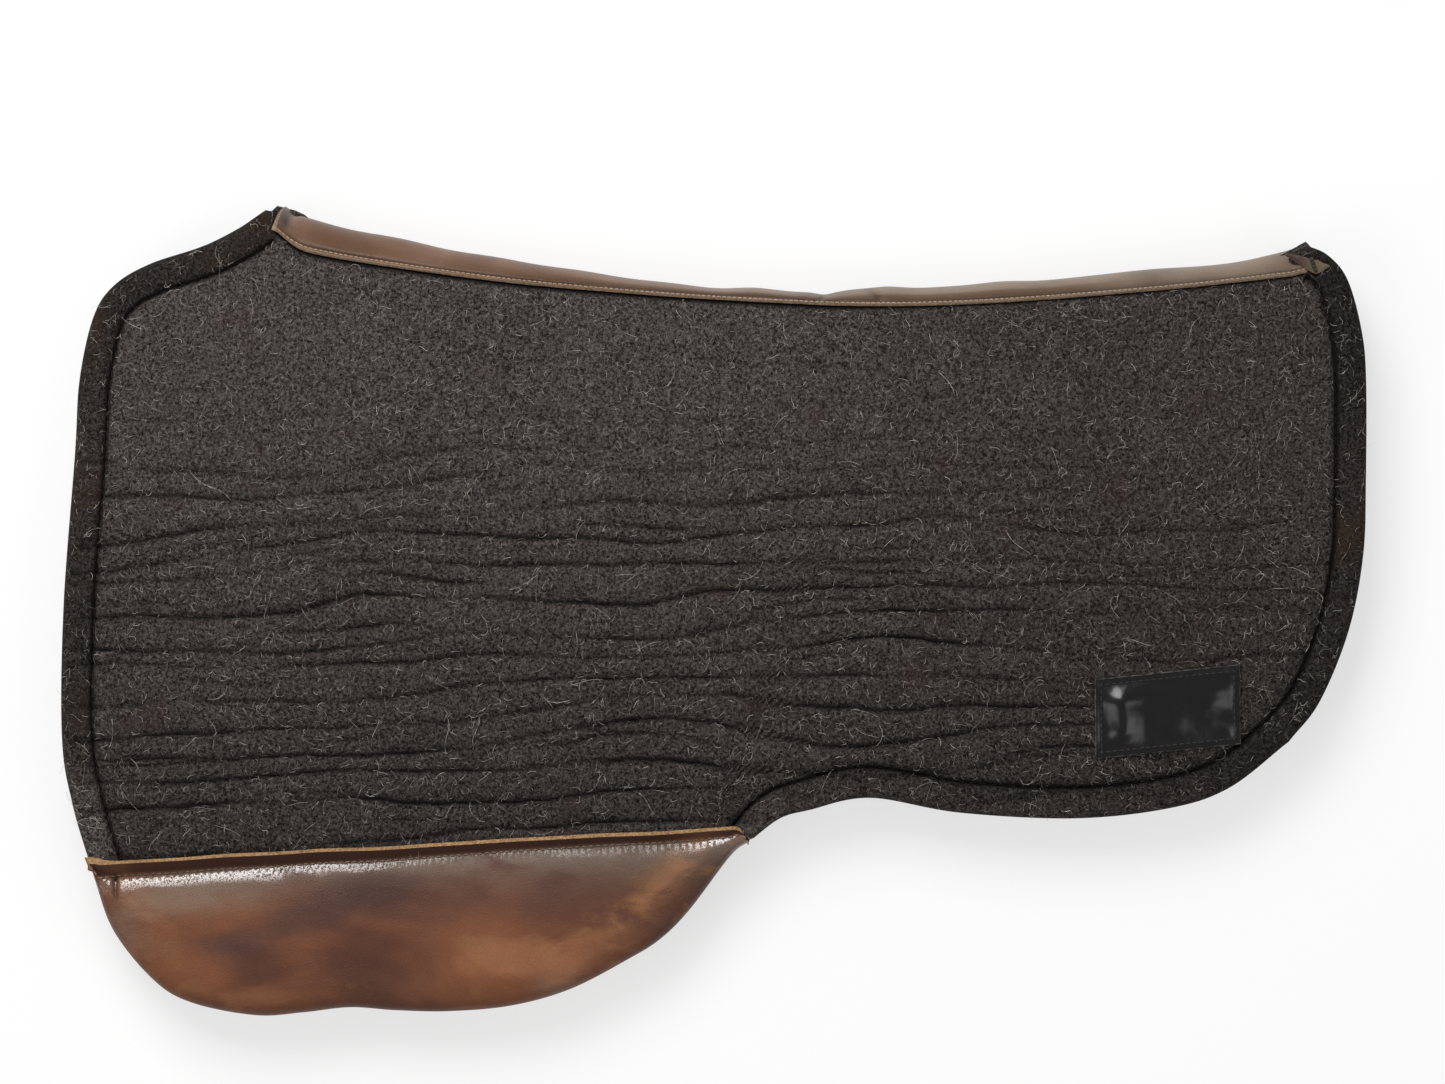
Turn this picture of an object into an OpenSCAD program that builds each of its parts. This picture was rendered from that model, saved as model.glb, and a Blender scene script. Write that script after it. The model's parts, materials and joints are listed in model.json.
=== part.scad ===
// Contoured felt saddle pad, folded shut along its spine and lying on its off side.
// +X runs to the rear along the spine, +Y up to the spine, +Z towards the near side.
// The origin is under the middle of the pad, on the surface that it lies on.

/* [Outline] */
// Straight distance between the two ends of the spine
spine_length = 624; // [590:2:660]
// How far the spine dips below that straight line
ridge_dip = 39; // [28:1:46]
// How far the front edge reaches ahead of the spine
front_reach = 119; // [106:1:132]
// How far the rear edge reaches behind the spine
rear_reach = 42; // [36:1:54]
// Drop from the ends of the spine to the lowest front edge
front_drop = 489; // [474:1:510]
// Drop from the ends of the spine to the lowest rear edge
rear_drop = 352; // [338:1:364]
// Rise of the shallow notch between the front and the rear
notch_rise = 8; // [2:1:12]

/* [Felt] */
// Thickness of the felt that lies on the horse
lining_thick = 12; // [10:0.5:14]
// Thickness of the outer felt
outer_thick = 12; // [11:0.5:14]
// Height of the soft crown of the near outer felt
crown = 3.5; // [1:0.5:6]
// Distance of the sewn groove from the edge
groove_inset = 19; // [16:1:22]
// Depth of the sewn groove
groove_depth = 4.5; // [2:0.5:6]
// Depth of the creases across the near outer felt
crease_depth = 1.8; // [0.4:0.2:2.4]

/* [Leather] */
// Thickness of the leathers
leather = 2.6; // [1.8:0.2:3]
// Drop of the wear leather's seam at its front end
seam_drop_front = 405; // [392:1:416]
// Drop of the wear leather's seam at its rear end
seam_drop_rear = 373; // [368:1:388]
// Length of the wear leather's seam
wear_length = 397; // [376:1:412]
// How far the wear leather turns in over the lining
wear_turn = 35; // [24:1:42]
// Rise of the loose lip of the near wear leather
lip_rise = 2.5; // [0.5:0.5:4]
// Width of the spine leather on each side, at its front end
spine_width_front = 20; // [14:0.5:24]
// Width of the spine leather on each side, at its middle
spine_width_mid = 7.5; // [6.5:0.5:12]
// Width of the spine leather on each side, at its rear end
spine_width_rear = 15; // [10:0.5:20]

/* [Label] */
// Length of the label patch
label_length = 84; // [60:1:96]
// Height of the label patch
label_height = 47; // [30:1:56]
// Thickness of the label patch
label_thick = 1.2; // [0.8:0.1:2]
// Tilt of the label patch
label_tilt = 8; // [0:1:15]
// Distance from the rearmost edge to the middle of the label
label_from_rear = 115; // [100:1:140]
// Height of the middle of the label above the lowest rear edge
label_from_bottom = 67; // [60:1:110]

/* [Sewing] */
// Thickness of the sewing thread
thread = 0.9; // [0.6:0.1:1.2]
// Length of one stitch as a share of its pitch
stitch_share = 0.72; // [0.5:0.02:0.85]

/* [Hidden] */

clearance = 0.3;
fold_gap = 0.6;
// How far a thread lies clear of what it is sewn to
thread_gap = 0.05;
// Stations along each stretch of the outline
edge_rows = 24;
tongue_cols = 14;
belly_cols = 10;
ridge_cols = tongue_cols + belly_cols;
stations = 2 * edge_rows + 2 * ridge_cols;
at_seam_front = edge_rows;
at_seam_rear = edge_rows + tongue_cols;
at_spine_rear = stations - ridge_cols;

// Levels in one half, measured outwards from its inner face
half = lining_thick + outer_thick;
mid = half + fold_gap / 2;
seat = thread + 2 * thread_gap;
leather_top = half - seat;
felt_seat = leather_top - leather - clearance;
// The rounded nose of the spine, measured from the fold
nose_top = leather_top + fold_gap / 2;
nose_felt = felt_seat + fold_gap / 2;
nose_start = asin((lining_thick + fold_gap / 2) / nose_felt);
nose_angles = [for (k = [0:3]) nose_start + (90 - nose_start) * k / 3];
// Rim of the felt and of the leather that wraps it
rim_radius = 6;
rim_run = 3;
fold_radius = leather + 0.4;
draw_in = 1.2;
border_crown_inset = 10;
groove_shoulder = 6;
inner_inset = groove_inset + groove_shoulder;
// Foot and width of the felt's slope below the spine leather
spine_slope = 1.5;
spine_border = 12;
// The seam of the wear leather: step of the felt, lip above the stitches, how the lip grows
wall_run = 2;
stitch_margin = 10;
lip_growth = 2;
spine_stitch_margin = 2.5;
label_margin = 3.5;
ring_top = 5;

// Curves
function lerp(a, b, t) = a + (b - a) * t;
function smooth(t) = let (c = min(1, max(0, t))) c * c * (3 - 2 * c);
function unit(v) = v / norm(v);
function curve_point(a, b, c, d, t) =
    0.5 * (2 * b + (c - a) * t + (2 * a - 5 * b + 4 * c - d) * t * t
           + (3 * b - a - 3 * c + d) * t * t * t);
function curve(p, fine = 10) = let (e = len(p) - 1) [
    for (i = [0:e - 1]) for (s = [0:fine - (i < e - 1 ? 1 : 0)])
        curve_point(i > 0 ? p[i - 1] : 2 * p[0] - p[1], p[i], p[i + 1],
                    i < e - 1 ? p[i + 2] : 2 * p[e] - p[e - 1], s / fine)];
function run_lengths(p) = [
    for (i = 0, s = 0; i < len(p); s = s + (i + 1 < len(p) ? norm(p[i + 1] - p[i]) : 0), i = i + 1) s];
function evenly(p, count) =
    let (run = run_lengths(p),
         xs = [for (i = [0:len(p) - 1]) [run[i], p[i].x]],
         ys = [for (i = [0:len(p) - 1]) [run[i], p[i].y]],
         whole = run[len(run) - 1])
    [for (i = [0:count]) [lookup(whole * i / count, xs), lookup(whole * i / count, ys)]];

// Corners of the outline, with the spine's two ends on y = 0
spine_front = [-spine_length / 2, 0];
spine_rear = [spine_length / 2, 0];
front_x = spine_front.x - front_reach;
rear_x = spine_rear.x + rear_reach;
seam_front = [spine_front.x - 0.807 * front_reach, -seam_drop_front];
seam_rear = [seam_front.x + wear_length, -seam_drop_rear];
rear_corner = [spine_rear.x + 0.024 * rear_reach, -0.855 * rear_drop];
notch_y = notch_rise - rear_drop;

// Each stretch as shares of its own reach and drop
front_shape = [[0, 0], [0.32, 0.056], [0.62, 0.090], [0.80, 0.124], [0.90, 0.172], [0.96, 0.267],
               [0.97, 0.38], [1, 0.605], [0.985, 0.80], [0.92, 0.90], [0.807, 1]];
tongue_shape = [[0, 0], [0.035, 0.39], [0.10, 0.73], [0.257, 1], [0.47, 1], [0.645, 1],
                [0.735, 0.92], [0.824, 0.73], [0.912, 0.425], [0.972, 0.09], [1, 0]];
rear_shape = [[0.024, 0.855], [0.45, 0.784], [0.83, 0.66], [1, 0.53], [1, 0.40], [0.95, 0.227],
              [0.857, 0.142], [0.63, 0.057], [0.33, 0.016], [0, 0]];
ridge_shape = [[1, 0], [0.95, 0.123], [0.80, 0.385], [0.565, 0.62], [0.333, 0.81], [0.08, 0.98],
               [-0.13, 0.98], [-0.365, 0.826], [-0.60, 0.585], [-0.833, 0.295], [-1, 0]];
lowest_share = 0.257;
tongue_depth = front_drop + lerp(seam_front.y, seam_rear.y, lowest_share);

front_edge = curve([for (p = front_shape) [spine_front.x - p.x * front_reach, -p.y * seam_drop_front]]);
tongue_edge = curve([for (p = tongue_shape) lerp(seam_front, seam_rear, p.x) - [0, p.y * tongue_depth]]);
belly_edge = curve([
    seam_rear,
    [lerp(seam_rear.x, rear_corner.x, 0.055), lerp(seam_rear.y, notch_y, 0.50)],
    [lerp(seam_rear.x, rear_corner.x, 0.110), lerp(seam_rear.y, notch_y, 0.70)],
    [lerp(seam_rear.x, rear_corner.x, 0.222), notch_y],
    [lerp(seam_rear.x, rear_corner.x, 0.389), -rear_drop + notch_rise / 8],
    [lerp(seam_rear.x, rear_corner.x, 0.605), -rear_drop],
    [lerp(seam_rear.x, rear_corner.x, 0.780), -0.977 * rear_drop],
    [lerp(seam_rear.x, rear_corner.x, 0.892), -0.938 * rear_drop],
    rear_corner]);
rear_edge = curve([for (p = rear_shape) [spine_rear.x + p.x * rear_reach, -p.y * rear_drop]]);
ridge_edge = curve([for (p = ridge_shape) [p.x * spine_length / 2, -p.y * ridge_dip]]);

function but_last(p) = [for (i = [0:len(p) - 2]) p[i]];
outline = concat(but_last(evenly(front_edge, edge_rows)), but_last(evenly(tongue_edge, tongue_cols)),
                 but_last(evenly(belly_edge, belly_cols)), but_last(evenly(rear_edge, edge_rows)),
                 but_last(evenly(ridge_edge, ridge_cols)));
out_x = [for (p = outline) p.x];
out_y = [for (p = outline) p.y];
centre = [(min(out_x) + max(out_x)) / 2, (min(out_y) + max(out_y)) / 2];

// Directions that point in from the outline
function wrap(i) = (i + stations) % stations;
function raw_normal(i) = let (t = unit(outline[wrap(i + 1)] - outline[wrap(i - 1)])) [-t.y, t.x];
function edge_normal(i) = unit(raw_normal(i - 1) + 2 * raw_normal(i) + raw_normal(i + 1));
seam_way = unit(seam_rear - seam_front);
seam_start = seam_front + inner_inset * seam_way;
seam_stop = seam_rear - inner_inset * seam_way;
function seam_point(j) = lerp(seam_start, seam_stop, j / tongue_cols);
function seam_span(j) = norm(seam_point(j) - outline[at_seam_front + j]);
function on_tongue(i) = i >= at_seam_front && i <= at_seam_rear;
function on_ridge(i) = i == 0 || i >= at_spine_rear;
function inward(i) =
    on_tongue(i) ? unit(seam_point(i - at_seam_front) - outline[i]) : edge_normal(i);
function inset(i, d) = outline[wrap(i)] + d * inward(wrap(i));

// Width of the spine leather at a station of the ridge
function spine_share(i) = (wrap(i) == 0 ? stations : i) - at_spine_rear;
function spine_width(i) =
    let (t = 2 * spine_share(i) / ridge_cols - 1)
    lerp(spine_width_mid, t < 0 ? spine_width_rear : spine_width_front, pow(abs(t), 1.6));
// Inset of the nose's felt at an angle round the nose
function nose_inset(i, a) = let (w = spine_width(i)) w - (w - leather - clearance) * cos(a);

// Height of the outer felt's open face, crowned or flat
crown_centre = [lerp(front_x, rear_x, 0.5), -0.41 * front_drop];
crown_reach = [0.55 * (rear_x - front_x), 0.53 * front_drop];
function face(p, formed) =
    let (dx = (p.x - crown_centre.x) / crown_reach.x, dy = (p.y - crown_centre.y) / crown_reach.y)
    half + (formed ? crown * exp(-dx * dx - dy * dy) : 0);

// One point of the outer felt's border: station, ring and whether it is crowned
function ridge_inset(i, k) =
    k < 3 ? nose_inset(i, nose_angles[k])
    : spine_width(i) + clearance + [0, spine_slope, spine_border][k - 3];
function ridge_level(k) =
    k < 3 ? nose_felt * sin(nose_angles[k]) - fold_gap / 2
    : k == 3 ? felt_seat : half;
felt_rim = rim_radius - leather - clearance;
function tongue_inset(i, k) =
    (i == at_seam_front || i == at_seam_rear) && k == ring_top ? inner_inset
    : leather + clearance + [0, 0, felt_rim * (1 - cos(45)), felt_rim, felt_rim + rim_run,
                             felt_rim + 2 * rim_run][k];
function tongue_level(k) =
    k == 0 ? lining_thick
    : felt_seat - [0, felt_rim, felt_rim * (1 - sin(45)), 0, 0, 0][k];
function border_inset(k) = [draw_in, 0, rim_run, border_crown_inset, groove_inset, inner_inset][k];
function border_level(k) = [lining_thick, half - outer_thick / 2, half - rim_run / 2, half,
                            half - groove_depth, half][k];
function ring(i, k, formed) =
    let (d = on_ridge(i) ? ridge_inset(i, k) : on_tongue(i) ? tongue_inset(i, k) : border_inset(k),
         p = inset(i, d),
         z = on_tongue(i) ? tongue_level(k)
             : k == ring_top ? face(p, formed)
             : on_ridge(i) ? ridge_level(k) : border_level(k))
    [p.x, p.y, z];

// Creases fade out towards the spine and the rear
crease_top = -0.27 * front_drop;
crease_full = -0.42 * front_drop;
crease_wave = 4;
function crease_strength(p) =
    smooth((crease_top - p.y) / (crease_top - crease_full))
    * (1 - smooth((p.x - seam_rear.x) / (0.5 * (rear_corner.x - seam_rear.x))));

// Sheet that spans the border's inner ring from the spine down to the seam and the belly
function border_xy(i) = let (q = ring(wrap(i), ring_top, false)) [q.x, q.y];
function row_end(j) =
    j == 0 || j >= tongue_cols ? border_xy(at_seam_front + j) : seam_point(j);
function sheet_xy(i, j) =
    let (u = j / ridge_cols, v = i / edge_rows,
         top = border_xy(stations - j), low = row_end(j),
         front = border_xy(i), rear = border_xy(at_spine_rear - i))
    lerp(top, low, v) + lerp(front, rear, u)
    - lerp(lerp(border_xy(0), border_xy(at_spine_rear), u),
           lerp(row_end(0), row_end(ridge_cols), u), v);
function sheet(i, j, formed) =
    let (flat = sheet_xy(i, j), s = formed ? crease_strength(flat) : 0,
         p = flat + [0, s * crease_wave * sin(1.3 * flat.x + 55 * i)])
    [p.x, p.y, face(p, formed) - (i % 2 == 1 ? s * crease_depth : 0)];
function seam_top(j, formed) = let (p = seam_point(j)) [p.x, p.y, face(p, formed)];
function under_leather(j, r) =
    let (foot = seam_point(j) - wall_run * inward(at_seam_front + j),
         rim = border_xy(at_seam_front + j), p = lerp(foot, rim, r / 2))
    [p.x, p.y, felt_seat];

// Triangles of a four-sided patch, leaving out those that have no area
function triangle(a, b, c) = a == b || b == c || c == a ? [] : [[a, b, c]];
function patch(a, b, c, d) = concat(triangle(a, b, c), triangle(a, c, d));

module outer_felt(formed) {
    rings = ring_top + 1;
    inner_cols = ridge_cols - 1;
    sheet_at = rings * stations;
    seam_at = sheet_at + (edge_rows - 1) * inner_cols;
    under_at = seam_at + tongue_cols - 1;
    function of_ring(i, k) = k * stations + wrap(i);
    function of_sheet(i, j) =
        i == 0 ? of_ring(stations - j, ring_top)
        : j == 0 ? of_ring(i, ring_top)
        : j == ridge_cols ? of_ring(at_spine_rear - i, ring_top)
        : i < edge_rows ? sheet_at + (i - 1) * inner_cols + j - 1
        : j < tongue_cols ? seam_at + j - 1
        : of_ring(edge_rows + j, ring_top);
    function of_under(r, j) =
        j == 0 || j == tongue_cols || r == 3 ? of_ring(at_seam_front + j, ring_top)
        : r == 0 ? of_sheet(edge_rows, j)
        : under_at + (r - 1) * (tongue_cols - 1) + j - 1;
    points = concat(
        [for (k = [0:ring_top]) for (i = [0:stations - 1]) ring(i, k, formed)],
        [for (i = [1:edge_rows - 1]) for (j = [1:inner_cols]) sheet(i, j, formed)],
        [for (j = [1:tongue_cols - 1]) seam_top(j, formed)],
        [for (r = [0:1]) for (j = [1:tongue_cols - 1]) under_leather(j, r)]);
    border = [for (k = [0:ring_top - 1]) for (i = [0:stations - 1])
        each patch(of_ring(i, k), of_ring(i, k + 1), of_ring(i + 1, k + 1), of_ring(i + 1, k))];
    open_face = [for (i = [0:edge_rows - 1]) for (j = [0:ridge_cols - 1])
        each patch(of_sheet(i, j), of_sheet(i, j + 1), of_sheet(i + 1, j + 1), of_sheet(i + 1, j))];
    covered_face = [for (r = [0:2]) for (j = [0:tongue_cols - 1])
        each patch(of_under(r, j), of_under(r, j + 1), of_under(r + 1, j + 1), of_under(r + 1, j))];
    base_at = len(points);
    base = [for (i = [0:stations - 1]) [base_at, of_ring(i, 0), of_ring(i + 1, 0)]];
    polyhedron(concat(points, [[crown_centre.x, crown_centre.y, lining_thick]]),
               concat(border, open_face, covered_face, base), convexity = 8);
}

// Flat outline of the lining, set in at the tongue by the given distance
function lining_inset(i, at_tongue) =
    on_ridge(i) ? nose_inset(i, nose_start) : on_tongue(i) ? at_tongue : draw_in;
module lining_shape(at_tongue) {
    polygon([for (i = [0:stations - 1]) inset(i, lining_inset(i, at_tongue))]);
}
module lining_felt() {
    turned = leather + clearance;
    linear_extrude(turned) lining_shape(wear_turn + clearance);
    translate([0, 0, turned]) linear_extrude(lining_thick - turned) lining_shape(leather + clearance);
}

// A closed skin over bent strips: each section runs out along one face and back along the other
module skin(sections) {
    count = len(sections[0]);
    last = len(sections) - 1;
    half_count = count / 2;
    sides = [for (s = [0:last - 1]) for (q = [0:count - 1])
        let (a = s * count + q, b = s * count + (q + 1) % count)
        each patch(a, b, b + count, a + count)];
    start = [for (q = [0:half_count - 2]) each patch(q, count - 1 - q, count - 2 - q, q + 1)];
    stop = [for (q = [0:half_count - 2]) let (a = last * count)
        each patch(a + q, a + q + 1, a + count - 2 - q, a + count - 1 - q)];
    polyhedron([for (s = sections) each s], concat(sides, start, stop), convexity = 8);
}

// Wear leather: turned in over the lining, round the lower edge and up to its seam
function wear_section(j, lip_top) =
    let (i = at_seam_front + j, top = leather_top, t = leather, rim = rim_radius,
         lip = lip_top * smooth(min(j, tongue_cols - j) / lip_growth),
         edge = seam_span(j) - wall_run - clearance,
         bend = edge - stitch_margin, mid_way = (rim + bend) / 2, s = sin(45),
         outside = [[wear_turn, 0], [fold_radius, 0], [fold_radius * (1 - s), fold_radius * (1 - s)],
                    [0, fold_radius], [0, top - rim], [rim * (1 - s), top - rim * (1 - s)], [rim, top],
                    [mid_way, top], [bend, top], [edge, top + lip]],
         inner_rim = rim - t, inner_fold = fold_radius - t,
         inside = [[edge, top + lip - t], [bend, top - t], [mid_way, top - t], [rim, top - t],
                   [rim - inner_rim * s, top - rim + inner_rim * s], [t, top - rim], [t, fold_radius],
                   [fold_radius - inner_fold * s, fold_radius - inner_fold * s],
                   [fold_radius, t], [wear_turn, t]])
    [for (q = concat(outside, inside)) let (p = inset(i, q.x)) [p.x, p.y, q.y]];
module wear_leather(lip) {
    skin([for (j = [0:tongue_cols]) wear_section(j, lip)]);
}

// Stitches
module stitch(a, b) {
    way = b - a;
    translate(a) rotate([0, acos(way.z / norm(way)), atan2(way.y, way.x)])
        cylinder(h = norm(way), d = thread, $fn = 16);
}
module stitch_row(points, per_step) {
    for (i = [0:len(points) - 2]) for (s = [0:per_step - 1]) {
        from = (s + (1 - stitch_share) / 2) / per_step;
        to = (s + (1 + stitch_share) / 2) / per_step;
        stitch(lerp(points[i], points[i + 1], from), lerp(points[i], points[i + 1], to));
    }
}
groove_thread = half - groove_depth + thread / 2 + clearance;
module perimeter_stitching() {
    for (run = [[1, at_seam_front - 1], [at_seam_rear + 1, at_spine_rear - 1]])
        stitch_row([for (i = [run[0]:run[1]])
            let (p = inset(i, groove_inset)) [p.x, p.y, groove_thread]], 2);
}
module wear_stitching() {
    stitch_row([for (j = [0:tongue_cols])
        let (p = inset(at_seam_front + j, seam_span(j) - wall_run - clearance - stitch_margin))
        [p.x, p.y, leather_top + thread / 2 + thread_gap]], 3);
}
module spine_stitching() {
    stitch_row([for (i = [at_spine_rear:stations])
        let (w = spine_width(i), a = acos(spine_stitch_margin / w), r = thread / 2 + thread_gap,
             p = inset(i, w - spine_stitch_margin - r * cos(a)))
        [p.x, p.y, (nose_top + r) * sin(a) - fold_gap / 2]], 3);
}

// Label patch, laid on the crowned face
label_at = [rear_x - label_from_rear, -rear_drop + label_from_bottom];
function on_label(u, v, lift) =
    let (a = u * label_length, b = v * label_height,
         p = label_at + [a * cos(label_tilt) - b * sin(label_tilt),
                         a * sin(label_tilt) + b * cos(label_tilt)])
    [p.x, p.y, face(p, true) + clearance / 2 + lift];
module label_sheet() {
    across = 6;
    skin([for (s = [0:across]) let (u = s / across - 0.5)
        concat([for (v = [-0.5, -0.17, 0.17, 0.5]) on_label(u, v, 0)],
               [for (v = [0.5, 0.17, -0.17, -0.5]) on_label(u, v, label_thick)])]);
}
module label_row() {
    u = 0.5 - label_margin / label_length;
    v = 0.5 - label_margin / label_height;
    lift = label_thick + thread / 2 + thread_gap;
    corners = [[-u, -v], [u, -v], [u, v], [-u, v], [-u, -v]];
    for (side = [0:3]) stitch_row([
        for (s = [0:2]) let (c = lerp(corners[side], corners[side + 1], s / 2))
            on_label(c.x, c.y, lift)], side % 2 == 0 ? 7 : 4);
}

// Places of the two halves
module near_half() {
    translate([-centre.x, -centre.y, mid + fold_gap / 2]) children();
}
module off_half() {
    translate([-centre.x, -centre.y, mid - fold_gap / 2]) mirror([0, 0, 1]) children();
}

module near_outer_felt() { color("#3a3634") near_half() outer_felt(true); }
module near_lining_felt() { color("#2e2b2a") near_half() lining_felt(); }
module near_wear_leather() { color("#5a3426") near_half() wear_leather(lip_rise); }
module near_perimeter_stitching() { color("#1c1a1a") near_half() perimeter_stitching(); }
module near_wear_stitching() { color("#2a1c17") near_half() wear_stitching(); }
module near_spine_stitching() { color("#8a6a4c") near_half() spine_stitching(); }
module label_patch() { color("#0c0c0d") near_half() label_sheet(); }
module label_stitching() { color("#1a1a1c") near_half() label_row(); }
module off_outer_felt() { color("#3a3634") off_half() outer_felt(false); }
module off_lining_felt() { color("#2e2b2a") off_half() lining_felt(); }
module off_wear_leather() { color("#5a3426") off_half() wear_leather(0); }
module off_perimeter_stitching() { color("#1c1a1a") off_half() perimeter_stitching(); }
module off_wear_stitching() { color("#2a1c17") off_half() wear_stitching(); }
module off_spine_stitching() { color("#8a6a4c") off_half() spine_stitching(); }

// Spine leather: one strip bent over the nose of both halves
module spine_leather() {
    bend_angles = concat([-nose_start / 2, 0, nose_start / 2], nose_angles);
    angles = concat([for (k = [3:-1:0]) -nose_angles[k]], bend_angles);
    color("#5f4132") translate([-centre.x, -centre.y, mid])
        skin([for (i = [at_spine_rear:stations]) let (w = spine_width(i)) concat(
            [for (a = angles) let (p = inset(i, w - w * cos(a))) [p.x, p.y, nose_top * sin(a)]],
            [for (q = [len(angles) - 1:-1:0])
                let (a = angles[q], p = inset(i, w - (w - leather) * cos(a)))
                [p.x, p.y, (nose_top - leather) * sin(a)]])]);
}

// Ridge seam: thread that holds the two linings together under the spine leather
module ridge_seam() {
    bite = 5;
    per_step = 2;
    ridge_thread = thread - 4 * thread_gap;
    color("#1c1a1a") translate([-centre.x, -centre.y, mid])
        for (i = [at_spine_rear:stations - 1]) for (s = [0:per_step - 1]) {
            t = (s + 0.5) / per_step;
            p = lerp(inset(i, nose_inset(i, nose_start) - thread / 2),
                     inset(i + 1, nose_inset(i + 1, nose_start) - thread / 2), t);
            translate([p.x, p.y, -bite]) cylinder(h = 2 * bite, d = ridge_thread, $fn = 16);
        }
}

near_outer_felt();
near_lining_felt();
near_wear_leather();
near_perimeter_stitching();
near_wear_stitching();
near_spine_stitching();
label_patch();
label_stitching();
off_outer_felt();
off_lining_felt();
off_wear_leather();
off_perimeter_stitching();
off_wear_stitching();
off_spine_stitching();
spine_leather();
ridge_seam();
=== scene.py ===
import json
import math
import bpy
import bmesh
import numpy as np
from mathutils import Matrix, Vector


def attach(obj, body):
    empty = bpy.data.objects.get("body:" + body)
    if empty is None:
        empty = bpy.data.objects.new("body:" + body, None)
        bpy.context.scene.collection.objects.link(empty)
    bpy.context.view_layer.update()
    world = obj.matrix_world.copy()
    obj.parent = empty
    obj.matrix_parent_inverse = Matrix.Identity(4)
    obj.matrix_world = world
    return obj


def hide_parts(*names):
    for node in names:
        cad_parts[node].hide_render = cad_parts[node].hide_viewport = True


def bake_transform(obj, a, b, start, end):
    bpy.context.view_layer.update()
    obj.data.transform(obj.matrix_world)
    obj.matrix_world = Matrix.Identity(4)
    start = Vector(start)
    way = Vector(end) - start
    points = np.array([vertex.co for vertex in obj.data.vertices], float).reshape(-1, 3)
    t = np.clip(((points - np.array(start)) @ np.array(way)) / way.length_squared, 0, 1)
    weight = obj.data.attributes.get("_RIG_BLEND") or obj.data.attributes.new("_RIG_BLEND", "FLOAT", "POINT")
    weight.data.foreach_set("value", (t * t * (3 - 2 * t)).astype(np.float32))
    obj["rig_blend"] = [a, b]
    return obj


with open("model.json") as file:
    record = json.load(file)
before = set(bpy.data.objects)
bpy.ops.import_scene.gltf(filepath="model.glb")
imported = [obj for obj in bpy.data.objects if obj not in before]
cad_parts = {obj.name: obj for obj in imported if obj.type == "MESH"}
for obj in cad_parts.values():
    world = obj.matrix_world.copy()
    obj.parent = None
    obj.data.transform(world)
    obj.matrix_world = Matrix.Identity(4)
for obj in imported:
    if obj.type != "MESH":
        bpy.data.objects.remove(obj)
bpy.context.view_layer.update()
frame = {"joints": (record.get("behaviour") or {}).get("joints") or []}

scene = bpy.context.scene
print("frame loaded")

# Lengths of the pad in millimetres, from the ends of the spine, as the CAD has them
pad = {
    "spine": 624.0, "dip": 39.0, "frontReach": 119.0, "rearReach": 42.0,
    "frontDrop": 489.0, "rearDrop": 352.0, "notch": 8.0,
    "half": 24.0, "gap": 0.6, "lining": 12.0, "crown": 3.5,
    "seamFront": 405.0, "seamRear": 373.0, "wearLength": 397.0,
}


def smooth(t):
    t = np.clip(t, 0.0, 1.0)
    return t * t * (3.0 - 2.0 * t)


def lerp(a, b, t):
    return a + (b - a) * t


def bell(x, width):
    return np.exp(-(x / width) ** 2)


def unit(v):
    return v / np.linalg.norm(v, axis=-1, keepdims=True)


def spline(points, fine=16):
    p = np.array(points, float)
    ends = np.vstack([2 * p[0] - p[1], p, 2 * p[-1] - p[-2]])
    t = np.linspace(0, 1, fine, endpoint=False)[:, None]
    runs = [
        0.5 * (2 * b + (c - a) * t + (2 * a - 5 * b + 4 * c - d) * t**2
               + (3 * b - a - 3 * c + d) * t**3)
        for a, b, c, d in zip(ends[:-3], ends[1:-2], ends[2:-1], ends[3:])
    ]
    return np.vstack(runs + [p[-1:]])


def raisedTo(flat, z):
    return np.concatenate([flat, z[..., None]], axis=-1)


def runLengths(line):
    steps = np.linalg.norm(np.diff(line, axis=0), axis=1)
    return np.concatenate([[0.0], np.cumsum(steps)])


def evenly(line, count):
    run = runLengths(line)
    s = np.linspace(0, run[-1], count + 1)
    return np.column_stack([np.interp(s, run, line[:, k]) for k in range(line.shape[1])])


def ripple(p, size, seed, waves=14):
    # A soft random field of about unit strength, from a seeded sum of waves
    rng = np.random.default_rng(seed)
    total = np.zeros(len(p))
    for _ in range(waves):
        way = rng.normal(size=p.shape[1])
        way *= 2 * math.pi / (size * rng.uniform(0.7, 1.6)) / np.linalg.norm(way)
        total += np.sin(p @ way + rng.uniform(0, 2 * math.pi))
    return total * math.sqrt(2.0 / waves)


# The outline's five stretches, as shares of their own reach and drop
spineFront = np.array([-pad["spine"] / 2, 0.0])
spineRear = np.array([pad["spine"] / 2, 0.0])
seamFront = np.array([spineFront[0] - 0.807 * pad["frontReach"], -pad["seamFront"]])
seamRear = np.array([seamFront[0] + pad["wearLength"], -pad["seamRear"]])
rearCorner = np.array([spineRear[0] + 0.024 * pad["rearReach"], -0.855 * pad["rearDrop"]])
notchY = pad["notch"] - pad["rearDrop"]
tongueDepth = pad["frontDrop"] + lerp(seamFront[1], seamRear[1], 0.257)
frontShape = [
    (0, 0), (0.32, 0.056), (0.62, 0.090), (0.80, 0.124), (0.90, 0.172), (0.96, 0.267),
    (0.97, 0.38), (1, 0.605), (0.985, 0.80), (0.92, 0.90), (0.807, 1),
]
tongueShape = [
    (0, 0), (0.035, 0.395), (0.10, 0.74), (0.16, 0.90), (0.257, 1), (0.33, 0.995), (0.40, 0.975),
    (0.47, 1.008), (0.55, 1.03), (0.645, 1.012), (0.735, 0.92), (0.824, 0.735), (0.87, 0.615),
    (0.912, 0.435), (0.972, 0.09), (1, 0),
]
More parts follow.
